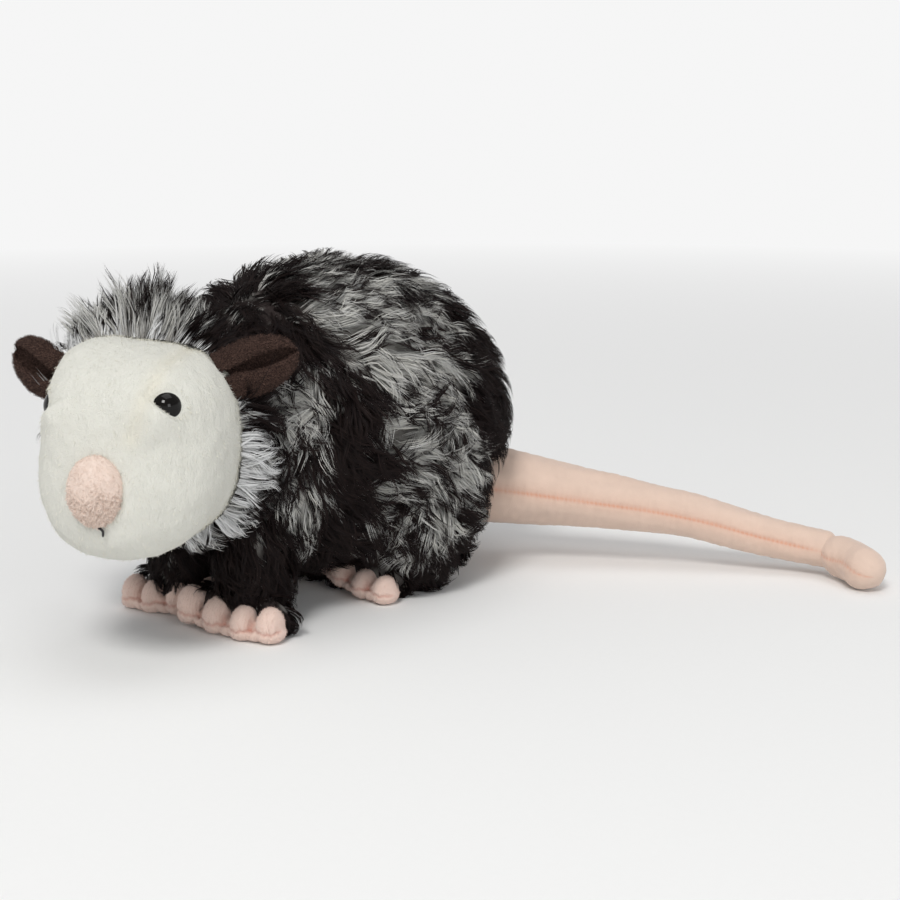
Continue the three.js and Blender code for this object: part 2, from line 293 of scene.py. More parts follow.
def fused(parts, voxel, smoothing):
    # Closed balls joined into one smooth skin: returns its points in the toy's frame, normals and quads
    points, faces, start = [], [], 0
    for grid in parts:
        p, f = closedGrid(grid)
        points.append(p)
        faces.extend(part + start for part in f)
        start += len(p)
    scratch = makeMesh("scratch", np.concatenate(points), faces, None)
    remesh = scratch.modifiers.new("remesh", "REMESH")
    remesh.mode = "VOXEL"
    remesh.voxel_size = voxel / 1000
    smooth = scratch.modifiers.new("smooth", "SMOOTH")
    smooth.factor = 0.5
    smooth.iterations = smoothing
    made = scratch.evaluated_get(bpy.context.evaluated_depsgraph_get()).to_mesh()
    p = np.empty(len(made.vertices) * 3)
    made.vertices.foreach_get("co", p)
    n = np.empty(len(made.vertices) * 3)
    made.vertices.foreach_get("normal", n)
    quads = np.empty(len(made.loops), np.int32)
    made.loops.foreach_get("vertex_index", quads)
    scratch.to_mesh_clear()
    mesh = scratch.data
    bpy.data.objects.remove(scratch)
    bpy.data.meshes.remove(mesh)
    return p.reshape(-1, 3) * 1000 - shift, n.reshape(-1, 3), quads.reshape(-1, 4)


def dressed(piece, slot, *nodes):
    # The toy is one still body, so every piece rides on the root
    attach(piece, "root")
    if nodes:
        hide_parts(*nodes)
    return piece


# Feet: each foot is four toes in a row, and what the pile must lie round
feet = {
    "front_foot_left": {"s": 1, "at": (21, -103), "turn": 12, "pitch": 14.4},
    "front_foot_right": {"s": -1, "at": (-22, -98), "turn": 10, "pitch": 13.0},
    "hind_foot_left": {"s": 1, "at": (23, -26), "turn": 0, "pitch": 13.5, "low": 0.84, "tilt": 4.5},
    "hind_foot_right": {"s": -1, "at": (-25, -26), "turn": 0, "pitch": 13.5, "low": 0.84, "tilt": 4.5},
}
# fold is the colour of the seam's line and of the painted shade in the seam's groove and the pinches between the
# toes
toe = {"width": (0.46, 0.46, 0.40, 0.40), "depth": (8.4, 8.0, 7.6, 7.2), "height": 8.2, "up": 8.0,
       "back": (4.5, 1, -1, -0.5), "shift": (0, 1.3, 1.6, 0), "lift": (2.0, -0.5, -1.7, -1.1),
       "seamUp": 6.2, "seamDepth": 0.8, "pinch": 0.8, "pucker": 0.18,
       "colour": (0.77, 0.59, 0.515), "nap": (0.80, 0.60, 0.53), "fold": (0.56, 0.27, 0.21)}


def footAxes(foot):
    # The foot's place, and the directions along its row of toes and back
    a = np.radians(foot["turn"])
    return (np.array((*foot["at"], 0.0)), np.array((np.cos(a), np.sin(a), 0)),
            np.array((-np.sin(a), np.cos(a), 0)))


def tilted(foot, place):
    # How far the foot is off the floor at a place along its row of toes, 0 at the inner and 3 at the outer one
    return foot.get("tilt", 0.0) * (3 - place) / 3


def toeForms(foot):
    # A row of four balls, from the inner toe to the outer one
    base, asideWay, backWay = footAxes(foot)
    low = foot.get("low", 1.0)
    forms = []
    for i in range(4):
        aside = ((i - 1.5) * foot["pitch"] + toe["shift"][i]) * foot["s"]
        at = base + asideWay * aside + backWay * toe["back"][i]
        radii = (foot["pitch"] * toe["width"][i], toe["depth"][i], toe["height"] * low)
        up = (toe["up"] + toe["lift"][i]) * low + tilted(foot, i)
        forms.append(Form((at[0], at[1], up), radii, foot["turn"]))
    return forms


def padForm(foot):
    # The foot behind its toes, which the leg's pile covers
    base, asideWay, backWay = footAxes(foot)
    at = base + backWay * 9
    return Form((at[0], at[1], 8.5), (foot["pitch"] * 1.72, 8.5, 9.0), foot["turn"])


toes = {name: toeForms(foot) for name, foot in feet.items()}
pads = {name: padForm(foot) for name, foot in feet.items()}

# Markings and painted shade, as (x, y, z, radius) on the left side: pale patches of the body's pile, and grooves
# whose bells are painted shade, darkening the pile along the shadowed groove between shoulder and haunch and at
# two places up the neck
markingsAndGrooveShade = {
    "patches": [
        (24, -40, 146, 9), (46, -24, 130, 18), (38, -40, 136, 12.5), (59, -24, 106, 19), (62, -8, 93, 14),
        (60, -42, 89, 9), (61, -26, 67, 11), (63, 0, 60, 16), (49, -35, 37, 11), (60, -12, 37, 10),
        (44, -79, 95, 14), (42, -74, 55, 13), (5, -20, 152, 11), (20, 15, 140, 8)],
    "shadeGrooves": [(53, -60, 100, 11), (53, -58, 84, 11), (53, -58, 69, 12), (46, -52, 45, 12), (39, -46, 28, 12),
                (40, -69, 121, 11), (16, -60, 143, 10)],
    "spread": 0.31, "mottle": 0.3, "mottleSize": 13.0, "mirrorFrom": -8, "gain": 1.4, "cut": 0.08,
    "grooveSpread": 0.7, "grooveDepth": 0.95,
}


def paleness(p):
    # 1 where the pile is pale almost to its tips, 0 where it is dark from the root: the highest of
    # the patches' bells exp(-spread * (distance / radius)^2), with a mottle, times 1 less each groove's bell of
    # painted shade.
    # The right side mirrors the left one
    flip = np.where(p[..., :1] < markingsAndGrooveShade["mirrorFrom"], -1.0, 1.0)
    q = p * np.concatenate((flip, np.ones_like(flip), np.ones_like(flip)), -1)
    pale = np.zeros(p.shape[:-1])
    for x, y, z, radius in markingsAndGrooveShade["patches"]:
        pale = np.maximum(pale, np.exp(-markingsAndGrooveShade["spread"] * ((q - (x, y, z)) ** 2).sum(-1) / radius ** 2))
    pale = pale + markingsAndGrooveShade["mottle"] * waves(p, markingsAndGrooveShade["mottleSize"], 3)
    for x, y, z, radius in markingsAndGrooveShade["shadeGrooves"]:
        bell = np.exp(-markingsAndGrooveShade["grooveSpread"] * ((q - (x, y, z)) ** 2).sum(-1) / radius ** 2)
        pale = pale * (1 - markingsAndGrooveShade["grooveDepth"] * bell)
    return np.clip(pale * markingsAndGrooveShade["gain"] - markingsAndGrooveShade["cut"], 0, 1.05)


print("frame and forms ready")

# Long pile: clumps of strands of hairs, each hair a flat ribbon on the form it grows from
# rootShade, rootShare, rootClean and rootFade paint the shade low in the pile, where the hairs shade each other
pile = {
    "light": (0.54, 0.53, 0.49), "lightCool": (0.47, 0.47, 0.46), "white": (0.72, 0.725, 0.73),
    "rootShade": (0.20, 0.165, 0.145), "dark": (0.0065, 0.0045, 0.0048), "darkBrown": (0.019, 0.0118, 0.0105),
    "edgeGain": 1.15, "edgeCut": 0.2, "edgeClean": 0.1, "edgeVary": 0.16, "edgeSharp": 5.0,
    "rootShare": 0.4, "rootClean": 0.3, "rootFade": 1.8,
    "profileAt": (0, 0.3, 0.6, 1), "profile": (0.9, 1.1, 0.85, 0.2), "steps": 6, "patch": 0.003, "lowest": 0.3,
    "length": (0.55, 1.5), "lift": (0.45, 1.35), "toeGap": 2.5, "faceGap": 0.3, "laidGap": 0.5,
}
# Wisps against the other strands: closer together, longer, higher and darker
wispLook = {"narrow": 0.4, "gather": 0.8, "longer": 0.2, "higher": 0.2, "pale": -0.42, "otherPale": 0.12}


def longPileFinish():
    # A hair is light up to an edge along it, and dark from there to its tip
    f = Finish("long_pile")
    along, pale, vary, clean = (f.attribute(name) for name in ("along", "pale", "vary", "clean"))
    edge = pale * pile["edgeGain"] - pile["edgeCut"] + clean * pile["edgeClean"] + (vary - 0.5) * pile["edgeVary"]
    tips = ((along - edge) * pile["edgeSharp"] + 0.5).clamped()
    # Painted shade: towards its root each hair is mixed to rootShade, the shade the hairs cast on each other low
    # in the pile, less so where the pile is clean
    nearRoot = (pile["rootShare"] - clean * pile["rootClean"] - along * pile["rootFade"]).clamped()
    light = f.mix(vary, pile["light"], pile["lightCool"])
    light = f.mix(clean * 0.9, light, pile["white"])
    light = f.mix(nearRoot, light, pile["rootShade"])
    dark = f.mix(vary, pile["dark"], pile["darkBrown"])
    return f.surface(f.mix(tips, light, dark), Roughness=0.6, Specular_IOR_Level=0.1)


longPile = longPileFinish()


def ribbons(paths, facing, width, rng, twist):
    # Two edges along each path and a point at its tip: path(t) -+ side * width * profile(t) / 2,
    # where side is across both the path and the facing, twisted a little
    n, steps = paths.shape[:2]
    tangent = unit(np.gradient(paths, axis=1))
    across = unit(np.cross(tangent[:, :1], facing[:, None]))
    turnedFacing = facing[:, None] + across * rng.normal(0, twist, (n, 1, 1))
    side = unit(np.cross(tangent, turnedFacing))
    profile = np.interp(np.arange(steps - 1) / (steps - 1), pile["profileAt"], pile["profile"])[None, :, None]
    half = side[:, :-1] * profile * width[:, None, None] / 2
    edges = np.stack((paths[:, :-1] - half, paths[:, :-1] + half), 2).reshape(n, -1, 3)
    points = np.concatenate((edges, paths[:, -1:]), 1)
    each = 2 * (steps - 1) + 1
    base = np.arange(n)[:, None, None] * each
    r = np.arange(steps - 2)[None, :, None] * 2
    quads = (base + r + np.array((0, 1, 3, 2))[None, None]).reshape(-1, 4)
    tips = (base[:, :, 0] + np.array((each - 3, each - 2, each - 1))[None]).reshape(-1, 3)
    return points, [quads, tips]


def tuftMap(d, steps):
    # OFBake: each tuft is a small patch at its root's place on a longitude and latitude unwrap of the form
    u = np.arctan2(d[:, 1], d[:, 0]) / (2 * np.pi) + 0.5
    v = np.arccos(np.clip(d[:, 2], -1, 1)) / np.pi
    along = np.concatenate((np.repeat(np.arange(steps - 1), 2), [steps - 1])) / (steps - 1)
    aside = np.concatenate((np.tile((0.0, 1.0), steps - 1), [0.5]))
    uv = np.stack((u[:, None] + pile["patch"] * (aside - 0.5), v[:, None] + pile["patch"] * (along - 0.5)), -1)
    return 0.01 + 0.98 * np.clip(uv.reshape(-1, 2), 0, 1)


def plant(name, paths, facing, uvWay, pale, vary, look, rng, material, slot):
    # Paths become one mesh of ribbons. Each has along, 0 at its root and 1 at its tip, pale from the markings and
    # their painted groove shade, vary, which is its own, and clean, where the pile is white right down to its root
    n, steps = paths.shape[:2]
    points, faces = ribbons(paths, facing, look["width"] * rng.uniform(0.75, 1.25, n), rng, look["twist"])
    each = 2 * (steps - 1) + 1
    t = np.linspace(0, 1, steps)
    attributes = {"along": np.tile(np.concatenate((np.repeat(t[:-1], 2), [1.0])), n),
                  "pale": np.repeat(pale, each), "vary": np.repeat(vary, each)}
    if "clean" in look:
        attributes["clean"] = np.full(n * each, look["clean"])
    piece = makeMesh(name, points.reshape(-1, 3), faces, material, attributes, tuftMap(uvWay, steps))
    print(name, "hairs", n, "triangles", n * (2 * steps - 3))
    return dressed(piece, slot)


def growCoat(name, form, look, keep, lay, around=(), clear=(), reject=None):
    # A hair's path over the form is clump root + offsets that close up towards the tip + lie * run * t
    # + a swerve across of t^2 and a wave; its height over the form is rise * (1 - (1 - t)^bow).
    # A lock swerves, waves and lifts as one, and each strand adds a little of its own. Some strands are wisps,
    # which lie on top, close up to a point and are darker. Where a hair would run through a form around it,
    # it is laid over that form, and none comes near a form to be kept clear
    rng = np.random.default_rng(look["seed"])
    root, normal = form.scatter(look["clumps"], rng, keep)
    lie, run, rise, pale = lay(root, normal, rng)
    lie = alongSurface(lie, normal)
    across = np.cross(normal, lie)
    m, s, h, steps = len(root), look["strands"], look["hairs"], pile["steps"]
    t = np.linspace(0, 1, steps)

    def spots(count, radius):
        r = radius * np.sqrt(rng.random((m, count)))
        a = rng.uniform(0, 2 * np.pi, (m, count))
        return r * np.cos(a), r * np.sin(a)

    strandAlong, strandAside = (v.reshape(m, s, 1, 1) for v in spots(s, look["clumpRadius"]))
    hairAlong, hairAside = (v.reshape(m, s, h, 1) for v in spots(s * h, look["strandRadius"]))
    gatherClump = 1 - look["gatherClump"] * t ** 1.3
    wisp = rng.random((m, s, 1, 1)) < look["wisps"]
    gatherStrand = (1 - wispLook["narrow"] * wisp) * (
        1 - np.where(wisp, wispLook["gather"], look["gatherStrand"]) * t ** 0.8)
    vary = rng.random((m, s, h, 1))

    def wander(own):
        return rng.normal(size=(m, 1, 1, 1)) + own * rng.normal(size=(m, s, 1, 1))

    length = np.clip(1 + 0.17 * wander(0.5) + 0.2 * (vary - 0.5), *pile["length"]) * (
        0.95 + wispLook["longer"] * wisp)
    swerve = look["swerve"] * wander(0.45)
    phase = rng.random((m, 1, 1, 1)) + 0.08 * rng.normal(size=(m, s, 1, 1))
    curl = look["curl"] * np.sin(2 * np.pi * (t * look["waves"] + phase)) * t ** 0.8
    far = run[:, None, None, None] * length * t + strandAlong * gatherClump + hairAlong * gatherStrand
    wide = strandAside * gatherClump + hairAside * gatherStrand + (
        swerve * run[:, None, None, None] * t ** 2 + curl)
    onward = (root[:, None, None, None] + far[..., None] * lie[:, None, None, None]
              + wide[..., None] * across[:, None, None, None])
    lift = (1 + look["liftSpread"] * wander(0.5)) * (
        0.85 + 0.2 * rng.random((m, s, h, 1)) + wispLook["higher"] * wisp)
    height = rise[:, None, None, None] * np.clip(lift, *pile["lift"]) * (1 - (1 - t) ** look["bow"])
    d = form.toward(onward.reshape(-1, steps, 3))
    paths = form.point(d, height.reshape(-1, steps))
    paleStrand = pale[:, None, None] + look["mingle"] * wander(0.7)[..., 0] + np.where(
        wisp, wispLook["pale"], wispLook["otherPale"])[..., 0]
    paleHair = np.repeat(np.clip(paleStrand, 0, 1.1).ravel(), h)
    ok = ~reject(paths) if reject else np.ones(len(paths), bool)
    for other in around:
        gap = other.outside(paths)
        ok &= gap[:, 1] > 0
        laid = other.point(other.toward(paths), pile["laidGap"])
        paths = np.where((gap < pile["laidGap"])[..., None], laid, paths)
    for other in clear:
        ok &= other.outside(paths).min(1) > pile["toeGap"]
    beforeSeam = headPlace(paths[:, 1:])[..., 1] > head["seam"] + 1.5
    ok &= ~((skull.outside(paths[:, 1:]) < pile["faceGap"]) & beforeSeam).any(1)  # none grows out of the face
    paths[..., 2] = np.maximum(paths[..., 2], pile["lowest"])
    paths, d, paleHair, varyHair = paths[ok], d[ok], paleHair[ok], vary.reshape(-1)[ok]
    return plant(name, paths, form.normal(d[:, 0])[0], d[:, 0], paleHair, varyHair, look, rng, longPile,
                 "long_pile")


def growFuzz(name, points, quads, look, material, slot, keep=None):
    # Short hairs on a mesh: path(t) = root + normal * rise * (1 - (1 - t)^1.6) + lie * run * t
    rng = np.random.default_rng(look["seed"])
    a, b, c, d = (points[quads[:, i]] for i in range(4))
    cross = np.cross(c - a, d - b)
    area = np.linalg.norm(cross, axis=1)
    if keep is not None:
        area = area * keep((a + b + c + d) / 4, unit(cross))
    pick = rng.choice(len(quads), look["count"], p=area / area.sum())
    u, v = rng.random((2, look["count"], 1))
    root = (a[pick] * (1 - u) + b[pick] * u) * (1 - v) + (d[pick] * (1 - u) + c[pick] * u) * v
    normal = unit(cross[pick])
    lie = alongSurface(np.array(look["lie"]) + look["stray"] * rng.normal(size=root.shape), normal)
    t = np.linspace(0, 1, 3)[None, :, None]
    size = rng.uniform(0.6, 1.3, (len(root), 1, 1))
    paths = root[:, None] + size * (normal[:, None] * look["rise"] * (1 - (1 - t) ** 1.6)
                                    + lie[:, None] * look["run"] * t)
    paths[..., 2] = np.maximum(paths[..., 2], 0.05)
    return plant(name, paths, normal, unit(root - points.mean(0)), np.ones(len(root)), rng.random(len(root)),
                 look, rng, material, slot)


# The pile gives way to the roots of the ears and to the toes
earRoot = {"left": (30.0, -3.0, 28.5), "right": (-37.0, -3.0, 25.0)}
earBlock = [Form(onHead((earRoot[name][0] + s * 14, earRoot[name][1] - 5, earRoot[name][2] + 2)),
                 (18, 8, 12), head["turn"]) for name, s in sides]
allToes = [form for forms in toes.values() for form in forms]


def swirled(lie, normal, angle):
    # The lie turned by an angle about the normal
    lie = alongSurface(lie, normal)
    return lie * np.cos(angle)[:, None] + np.cross(normal, lie) * np.sin(angle)[:, None]


# The coat: counts first, then radii in millimetres and how far a clump and a strand close up at the tip
coatLook = {"clumps": 600, "strands": 5, "hairs": 7, "clumpRadius": 4.6, "strandRadius": 2.3,
            "gatherClump": 0.5, "gatherStrand": 0.2, "swerve": 0.3, "curl": 1.8, "waves": 0.95, "width": 0.36,
            "twist": 0.5, "liftSpread": 0.22, "bow": 1.6, "mingle": 0.1, "wisps": 0.39}
# How far the pile runs and rises, in millimetres
trunkLay = {"run": 14.5, "rise": 9.5, "topLess": 1.2, "underLess": 4, "tipAhead": 7}
thighLay = {"run": 13.5, "rise": 8.5, "tipAhead": 6}
armLay = {"run": 13, "rise": 6.5, "frontLess": 2, "pale": 0.2}
cuffLay = {"run": 7.5, "rise": 5.0}


def layTrunk(p, normal, rng):
    # The pile lies back and down, in broad swirls, and less so on the top of the back
    x, y = p[:, 0], p[:, 1]
    back = 0.75 - 0.5 * np.clip(normal[:, 2], 0, 1) * smoothStep(45, 0, y)
    lie = np.stack((0.022 * x, back, -0.55 - 0.65 * np.abs(x) / 58 - 0.006 * np.maximum(0, y)), -1)
    angle = 0.7 * waves(p, 52, 7) + 0.4 * waves(p, 21, 8) + 0.15 * rng.normal(size=len(p))
    lie = swirled(lie, normal, angle)
    under = smoothStep(-0.35, -0.85, normal[:, 2])
    rise = (trunkLay["rise"] - trunkLay["topLess"] * smoothStep(0.2, 0.9, normal[:, 2])
            - trunkLay["underLess"] * under)
    run = trunkLay["run"] - trunkLay["underLess"] * under
    return lie, run, rise, paleness(p + trunkLay["tipAhead"] * lie)


def trunkPart(xSign, front):
    # One quarter of the trunk, where neither the head nor a leg covers it
    def keep(p):
        ok = (p[:, 0] * xSign >= 0) & ((p[:, 1] < -20) == front) & (p[:, 2] > 13) & (skull.outside(p) > 1)
        for name, s in sides:
            ok &= (thigh[name].outside(p) > -2) & (arm[name].outside(p) > -1)
        return ok
    return keep


seed = 100
for side, s in sides:
    for part, front in (("front", True), ("rear", False)):
        seed += 1
        growCoat(f"coat_{part}_{side}", trunk, {**coatLook, "seed": seed}, trunkPart(s, front), layTrunk,
                 earBlock, allToes)


def layThigh(s):
    # Back and down at an equal slope, in swirls
    def lay(p, normal, rng):
        angle = 0.7 * waves(p, 45, 9) + 0.28 * waves(p, 17, 10) + 0.12 * rng.normal(size=len(p))
        lie = swirled(np.tile((0.2 * s, 0.8, -0.8), (len(p), 1)), normal, angle)
        pale = paleness(p + thighLay["tipAhead"] * lie)
        return lie, np.full(len(p), thighLay["run"]), np.full(len(p), thighLay["rise"]), pale
    return lay


def layArm(s):
    # Shorter towards the toes in front
    def lay(p, normal, rng):
        lie = np.tile((0.3 * s, 0.25, -1.0), (len(p), 1)) + 0.2 * rng.normal(size=(len(p), 3))
        ahead = smoothStep(-84, -92, p[:, 1])
        run = armLay["run"] - ahead * np.clip(armLay["run"] - 0.75 * (p[:, 2] - 10), 0, 10)
        return lie, run, armLay["rise"] - armLay["frontLess"] * ahead, armLay["pale"] * paleness(p)
    return lay


for side, s in sides:
    growCoat(f"coat_haunch_{side}", thigh[side], {**coatLook, "clumps": 335, "seed": 110 + s},
             lambda p: (p[:, 0] * s > 12) & (p[:, 2] > 5) & (trunk.outside(p) > -6.5),
             layThigh(s), (), allToes)
    growCoat(f"coat_front_leg_{side}", arm[side],
             {**coatLook, "clumps": 200, "clumpRadius": 3.2, "strandRadius": 1.2, "seed": 120 + s},
             lambda p: (p[:, 2] > 3) & (skull.outside(p) > 0) & (trunk.outside(p) > -3), layArm(s), allToes)


def layCuff(foot):
    # Down and back over the foot, fanning out with the distance from its middle
    def lay(p, normal, rng):
        base, asideWay, backWay = footAxes(foot)
        out = ((p - base) @ asideWay / (foot["pitch"] * 1.7))[:, None]
        lie = 0.45 * out * asideWay - 0.9 * normal[:, 2:] * backWay - upward + 0.2 * rng.normal(size=p.shape)
        return lie, np.full(len(p), cuffLay["run"]), np.full(len(p), cuffLay["rise"]), np.zeros(len(p))
    return lay


for name, foot in feet.items():
    base, _, backWay = footAxes(foot)
    count = 150 if "front" in name else 90
    growCoat(f"coat_cuff_{name}", pads[name],
             {**coatLook, "clumps": count, "clumpRadius": 2.6, "strandRadius": 1.1, "curl": 0.7, "seed": 125},
             lambda p: ((p - base) @ backWay > 2.0) & (p[:, 2] > 2) & (skull.outside(p) > 0),
             layCuff(foot), toes[name], (), lambda paths: ((paths - base) @ backWay < -0.5).any(1))

# Crest: the pile behind the top of the face stands up and fans out. Ruff: at the cheeks it spreads out
crest = {"middle": -6.0, "half": 23.0, "depth": 20.0, "rise": 21.5, "run": 4.5, "fan": 0.022, "pale": 0.92,
         "nearDarker": 0.3, "behindDarker": 0.018}
ruff = {"rise": 13.0, "run": 9.5, "pale": 0.95, "paleDepth": 7.5}
rim = {"rise": 11.0, "run": 6.0, "depth": 3.2, "pale": 0.88}


def crestShare(place):
    # 1 in the crest and 0 outside it, by how far aside, up and behind the seam a place on the head is
    aside = np.abs(place[:, 0] - crest["middle"])
    return smoothStep(crest["half"] + 3, crest["half"] - 5, aside) * smoothStep(22, 27, place[:, 2]) * (
        smoothStep(crest["depth"] + 4, crest["depth"] - 6, head["seam"] - place[:, 1]))


def layCrest(p, normal, rng):
    # Steep, leaning aside in step with the distance from the crest's middle, and shorter towards its ends
    place = headPlace(p)
    behind = head["seam"] - place[:, 1]
    fan = (place[:, :1] - crest["middle"]) * crest["fan"] * headLeft
    lie = fan - headAhead * 0.35 + 0.3 * rng.normal(size=p.shape)
    reach = 0.6 + 1.3 * np.linalg.norm(fan, axis=1)
    edge = 0.1 * waves(p, 10, 5) - crest["behindDarker"] * np.maximum(behind - 10, 0)
    side = crest["nearDarker"] * smoothStep(2, 22, place[:, 0])
    tall = 1 - 0.25 * smoothStep(6, 20, np.abs(place[:, 0] - crest["middle"]))
    return lie, crest["run"] * reach, crest["rise"] * tall * (1 + 0.13 * waves(p, 11, 6)) * (
        1 - 0.01 * behind), np.clip(crest["pale"] + edge - side, 0, 1.1)


def layRuff(p, normal, rng):
    # Back from the face and a little outwards. Its paleness is a bell of the distance behind the seam
    place = headPlace(p)
    behind = head["seam"] - place[:, 1]
    share = crestShare(place)
    out = unit(place * (1, 0, 1) - (head["middle"], 0, 0))
    lie = -headAhead + 0.25 * (out[:, :1] * headLeft + out[:, 2:] * upward) + 0.28 * rng.normal(size=p.shape)
    low = smoothStep(12, -6, place[:, 2])
    pale = (0.25 + 0.75 * low) * ruff["pale"] * np.exp(-(np.maximum(behind, 0) / ruff["paleDepth"]) ** 2)
    pale = pale + 0.2 * waves(p, 9, 5) * (pale > 0.2)
    return (swirled(lie, normal, 0.4 * waves(p, 16, 12)), np.full(len(p), ruff["run"]),
            ruff["rise"] * (1 - 0.012 * behind) + 3 * share, np.clip(pale, 0, 1.05))


def layRim(p, normal, rng):
    # The row along the face's seam stands out from it and hides its edge
    place = headPlace(p)
    out = unit(place * (1, 0, 1) - (head["middle"], 0, 0))
    lie = -0.55 * headAhead + 0.5 * (out[:, :1] * headLeft + out[:, 2:] * upward) + 0.3 * rng.normal(size=p.shape)
    dark = smoothStep(8, 20, place[:, 0]) * smoothStep(1, 12, place[:, 2])
    under = smoothStep(-20, -32, place[:, 2]) * smoothStep(12, -2, place[:, 0])
    size = (1 + 0.25 * waves(p, 11, 14)) * (1 - 0.4 * under)
    size = size * (1 - 0.7 * smoothStep(-22, -32, place[:, 0]) * smoothStep(10, 2, place[:, 2]))
    size = size * (1 - 0.75 * smoothStep(-2, -14, place[:, 0]) * smoothStep(-20, -30, place[:, 2]))
    pale = rim["pale"] + 0.2 * waves(p, 8, 15) - 1.1 * dark - 0.7 * under
    pale = pale - 0.25 * smoothStep(-14, -26, place[:, 2]) - 0.35 * smoothStep(22, 30, place[:, 2])
    return lie, rim["run"] * size, rim["rise"] * size, np.clip(pale, 0, 1.1)


def behindFace(p):  # behind the seam and not inside the trunk
    return (headPlace(p)[:, 1] < head["seam"] - 0.4) & (trunk.outside(p) > -4)


def onRim(p):  # in a band as deep as the rim, just behind the seam
    fromRim = headPlace(p)[:, 1] - head["seam"] + rim["depth"] / 2 - 0.3
    return (np.abs(fromRim) < rim["depth"] / 2) & (trunk.outside(p) > -4)


rimLook = {**coatLook, "clumps": 330, "strands": 4, "wisps": 0.15, "clumpRadius": 2.2, "strandRadius": 1.1,
           "gatherClump": 0.55, "width": 0.32, "bow": 1.4, "curl": 1.0, "seed": 129, "clean": 1.0}
crestLook = {**coatLook, "clumps": 240, "strands": 7, "wisps": 0.32, "clumpRadius": 3.4, "strandRadius": 1.4,
             "gatherClump": 0.55, "gatherStrand": 0.35, "swerve": 0.6, "curl": 1.3, "width": 0.28,
             "liftSpread": 0.12, "bow": 1.2, "seed": 130, "clean": 0.1, "mingle": 0.2}
ruffLook = {**coatLook, "clumps": 380, "strands": 6, "wisps": 0.45, "clumpRadius": 3.6, "strandRadius": 1.8,
            "gatherClump": 0.6, "width": 0.34, "seed": 131, "clean": 0.4, "mingle": 0.15}
growCoat("coat_rim", skull, rimLook, onRim, layRim, earBlock)
growCoat("coat_crest", skull, crestLook,
         lambda p: behindFace(p) & (crestShare(headPlace(p)) > 0.5), layCrest)
growCoat("coat_ruff", skull, ruffLook,
         lambda p: behindFace(p) & (crestShare(headPlace(p)) <= 0.5), layRuff, earBlock)
print("coat ready")

# Skin under the pile, one closed surface over trunk, legs and the back of the head
skinLook = {"voxel": 2.4, "smoothing": 6, "shrinkSkull": -0.8, "underFace": -5.0, "floor": 0.6,
            "cloth": (0.030, 0.022, 0.021), "paleCloth": (0.36, 0.35, 0.325), "white": (0.62, 0.62, 0.60)}


def skinFinish():
    f = Finish("pile_backing")
    pale = (f.attribute("pale") * 0.9).clamped()
    weave = f.noise(0.8, 2.0)
    colour = f.mix((pale + weave * 0.2 - 0.1).clamped(), skinLook["cloth"], skinLook["paleCloth"])
    colour = f.mix(f.attribute("clean"), colour, skinLook["white"])
    return f.surface(colour, Roughness=0.9, Specular_IOR_Level=0.2, Normal=f.bump(weave, 0.4))


directions = ballDirections(48, 72)
aheadOfSeam = headPlace(skull.point(directions))[..., 1] - head["seam"]
skullGrow = skinLook["shrinkSkull"] + skinLook["underFace"] * smoothStep(-1.0, 3.0, aheadOfSeam)
balls = [trunk.point(directions), skull.point(directions, skullGrow)]
balls += [form.point(directions) for form in (*thigh.values(), *arm.values(), *pads.values())]
for ball in balls:
    ball[..., 2] = np.maximum(ball[..., 2], skinLook["floor"])
skinPoints, _, skinQuads = fused(balls, skinLook["voxel"], skinLook["smoothing"])
behind = head["seam"] - headPlace(skinPoints)[:, 1]
nearSkull = skull.outside(skinPoints) > -8
skinPale = np.maximum(paleness(skinPoints), np.exp(-(behind / 7) ** 2) * nearSkull)
skin = makeMesh("skin", skinPoints, [skinQuads], skinFinish(), {
    "pale": skinPale, "clean": smoothStep(4.5, 2.5, behind) * nearSkull})
dressed(skin, "long_pile", "head", "torso", "front_leg_left", "front_leg_right",
        "hind_leg_left", "hind_leg_right")
print("skin", len(skinQuads), "quads")

# Face: the front of the skull's form, out to the seam, with its dents and creases
face = {
    "rows": 130, "cols": 220, "skin": -0.4, "seamDip": 0.5, "seamWidth": 2.4, "reach": -2.2,
    "socket": 0.8, "socketSize": 6.0, "lid": {"left": 3.3, "right": 2.6},
    "lidFrom": 0.0, "lidTo": 2.2, "crease": 0.9, "creaseWidth": 2.0, "furrow": 0.8,
    "colour": (0.72, 0.715, 0.655), "warm": (0.735, 0.705, 0.60), "shade": (0.655, 0.65, 0.59),
}
# The crease runs from the top of the forehead down to the nose, in (aside, up)
creaseFrom, creaseTo = np.array((20.0, 41.0)), np.array((8.5, 2.0))


def creaseDistance(place):
    # Distance from the crease's line, and how far along it the nearest point is, from 0 to 1
    q = place[..., ::2] - creaseFrom
    line = creaseTo - creaseFrom
    t = np.clip(q @ line / (line @ line), 0, 1)
    return np.linalg.norm(q - t[..., None] * line, axis=-1), t


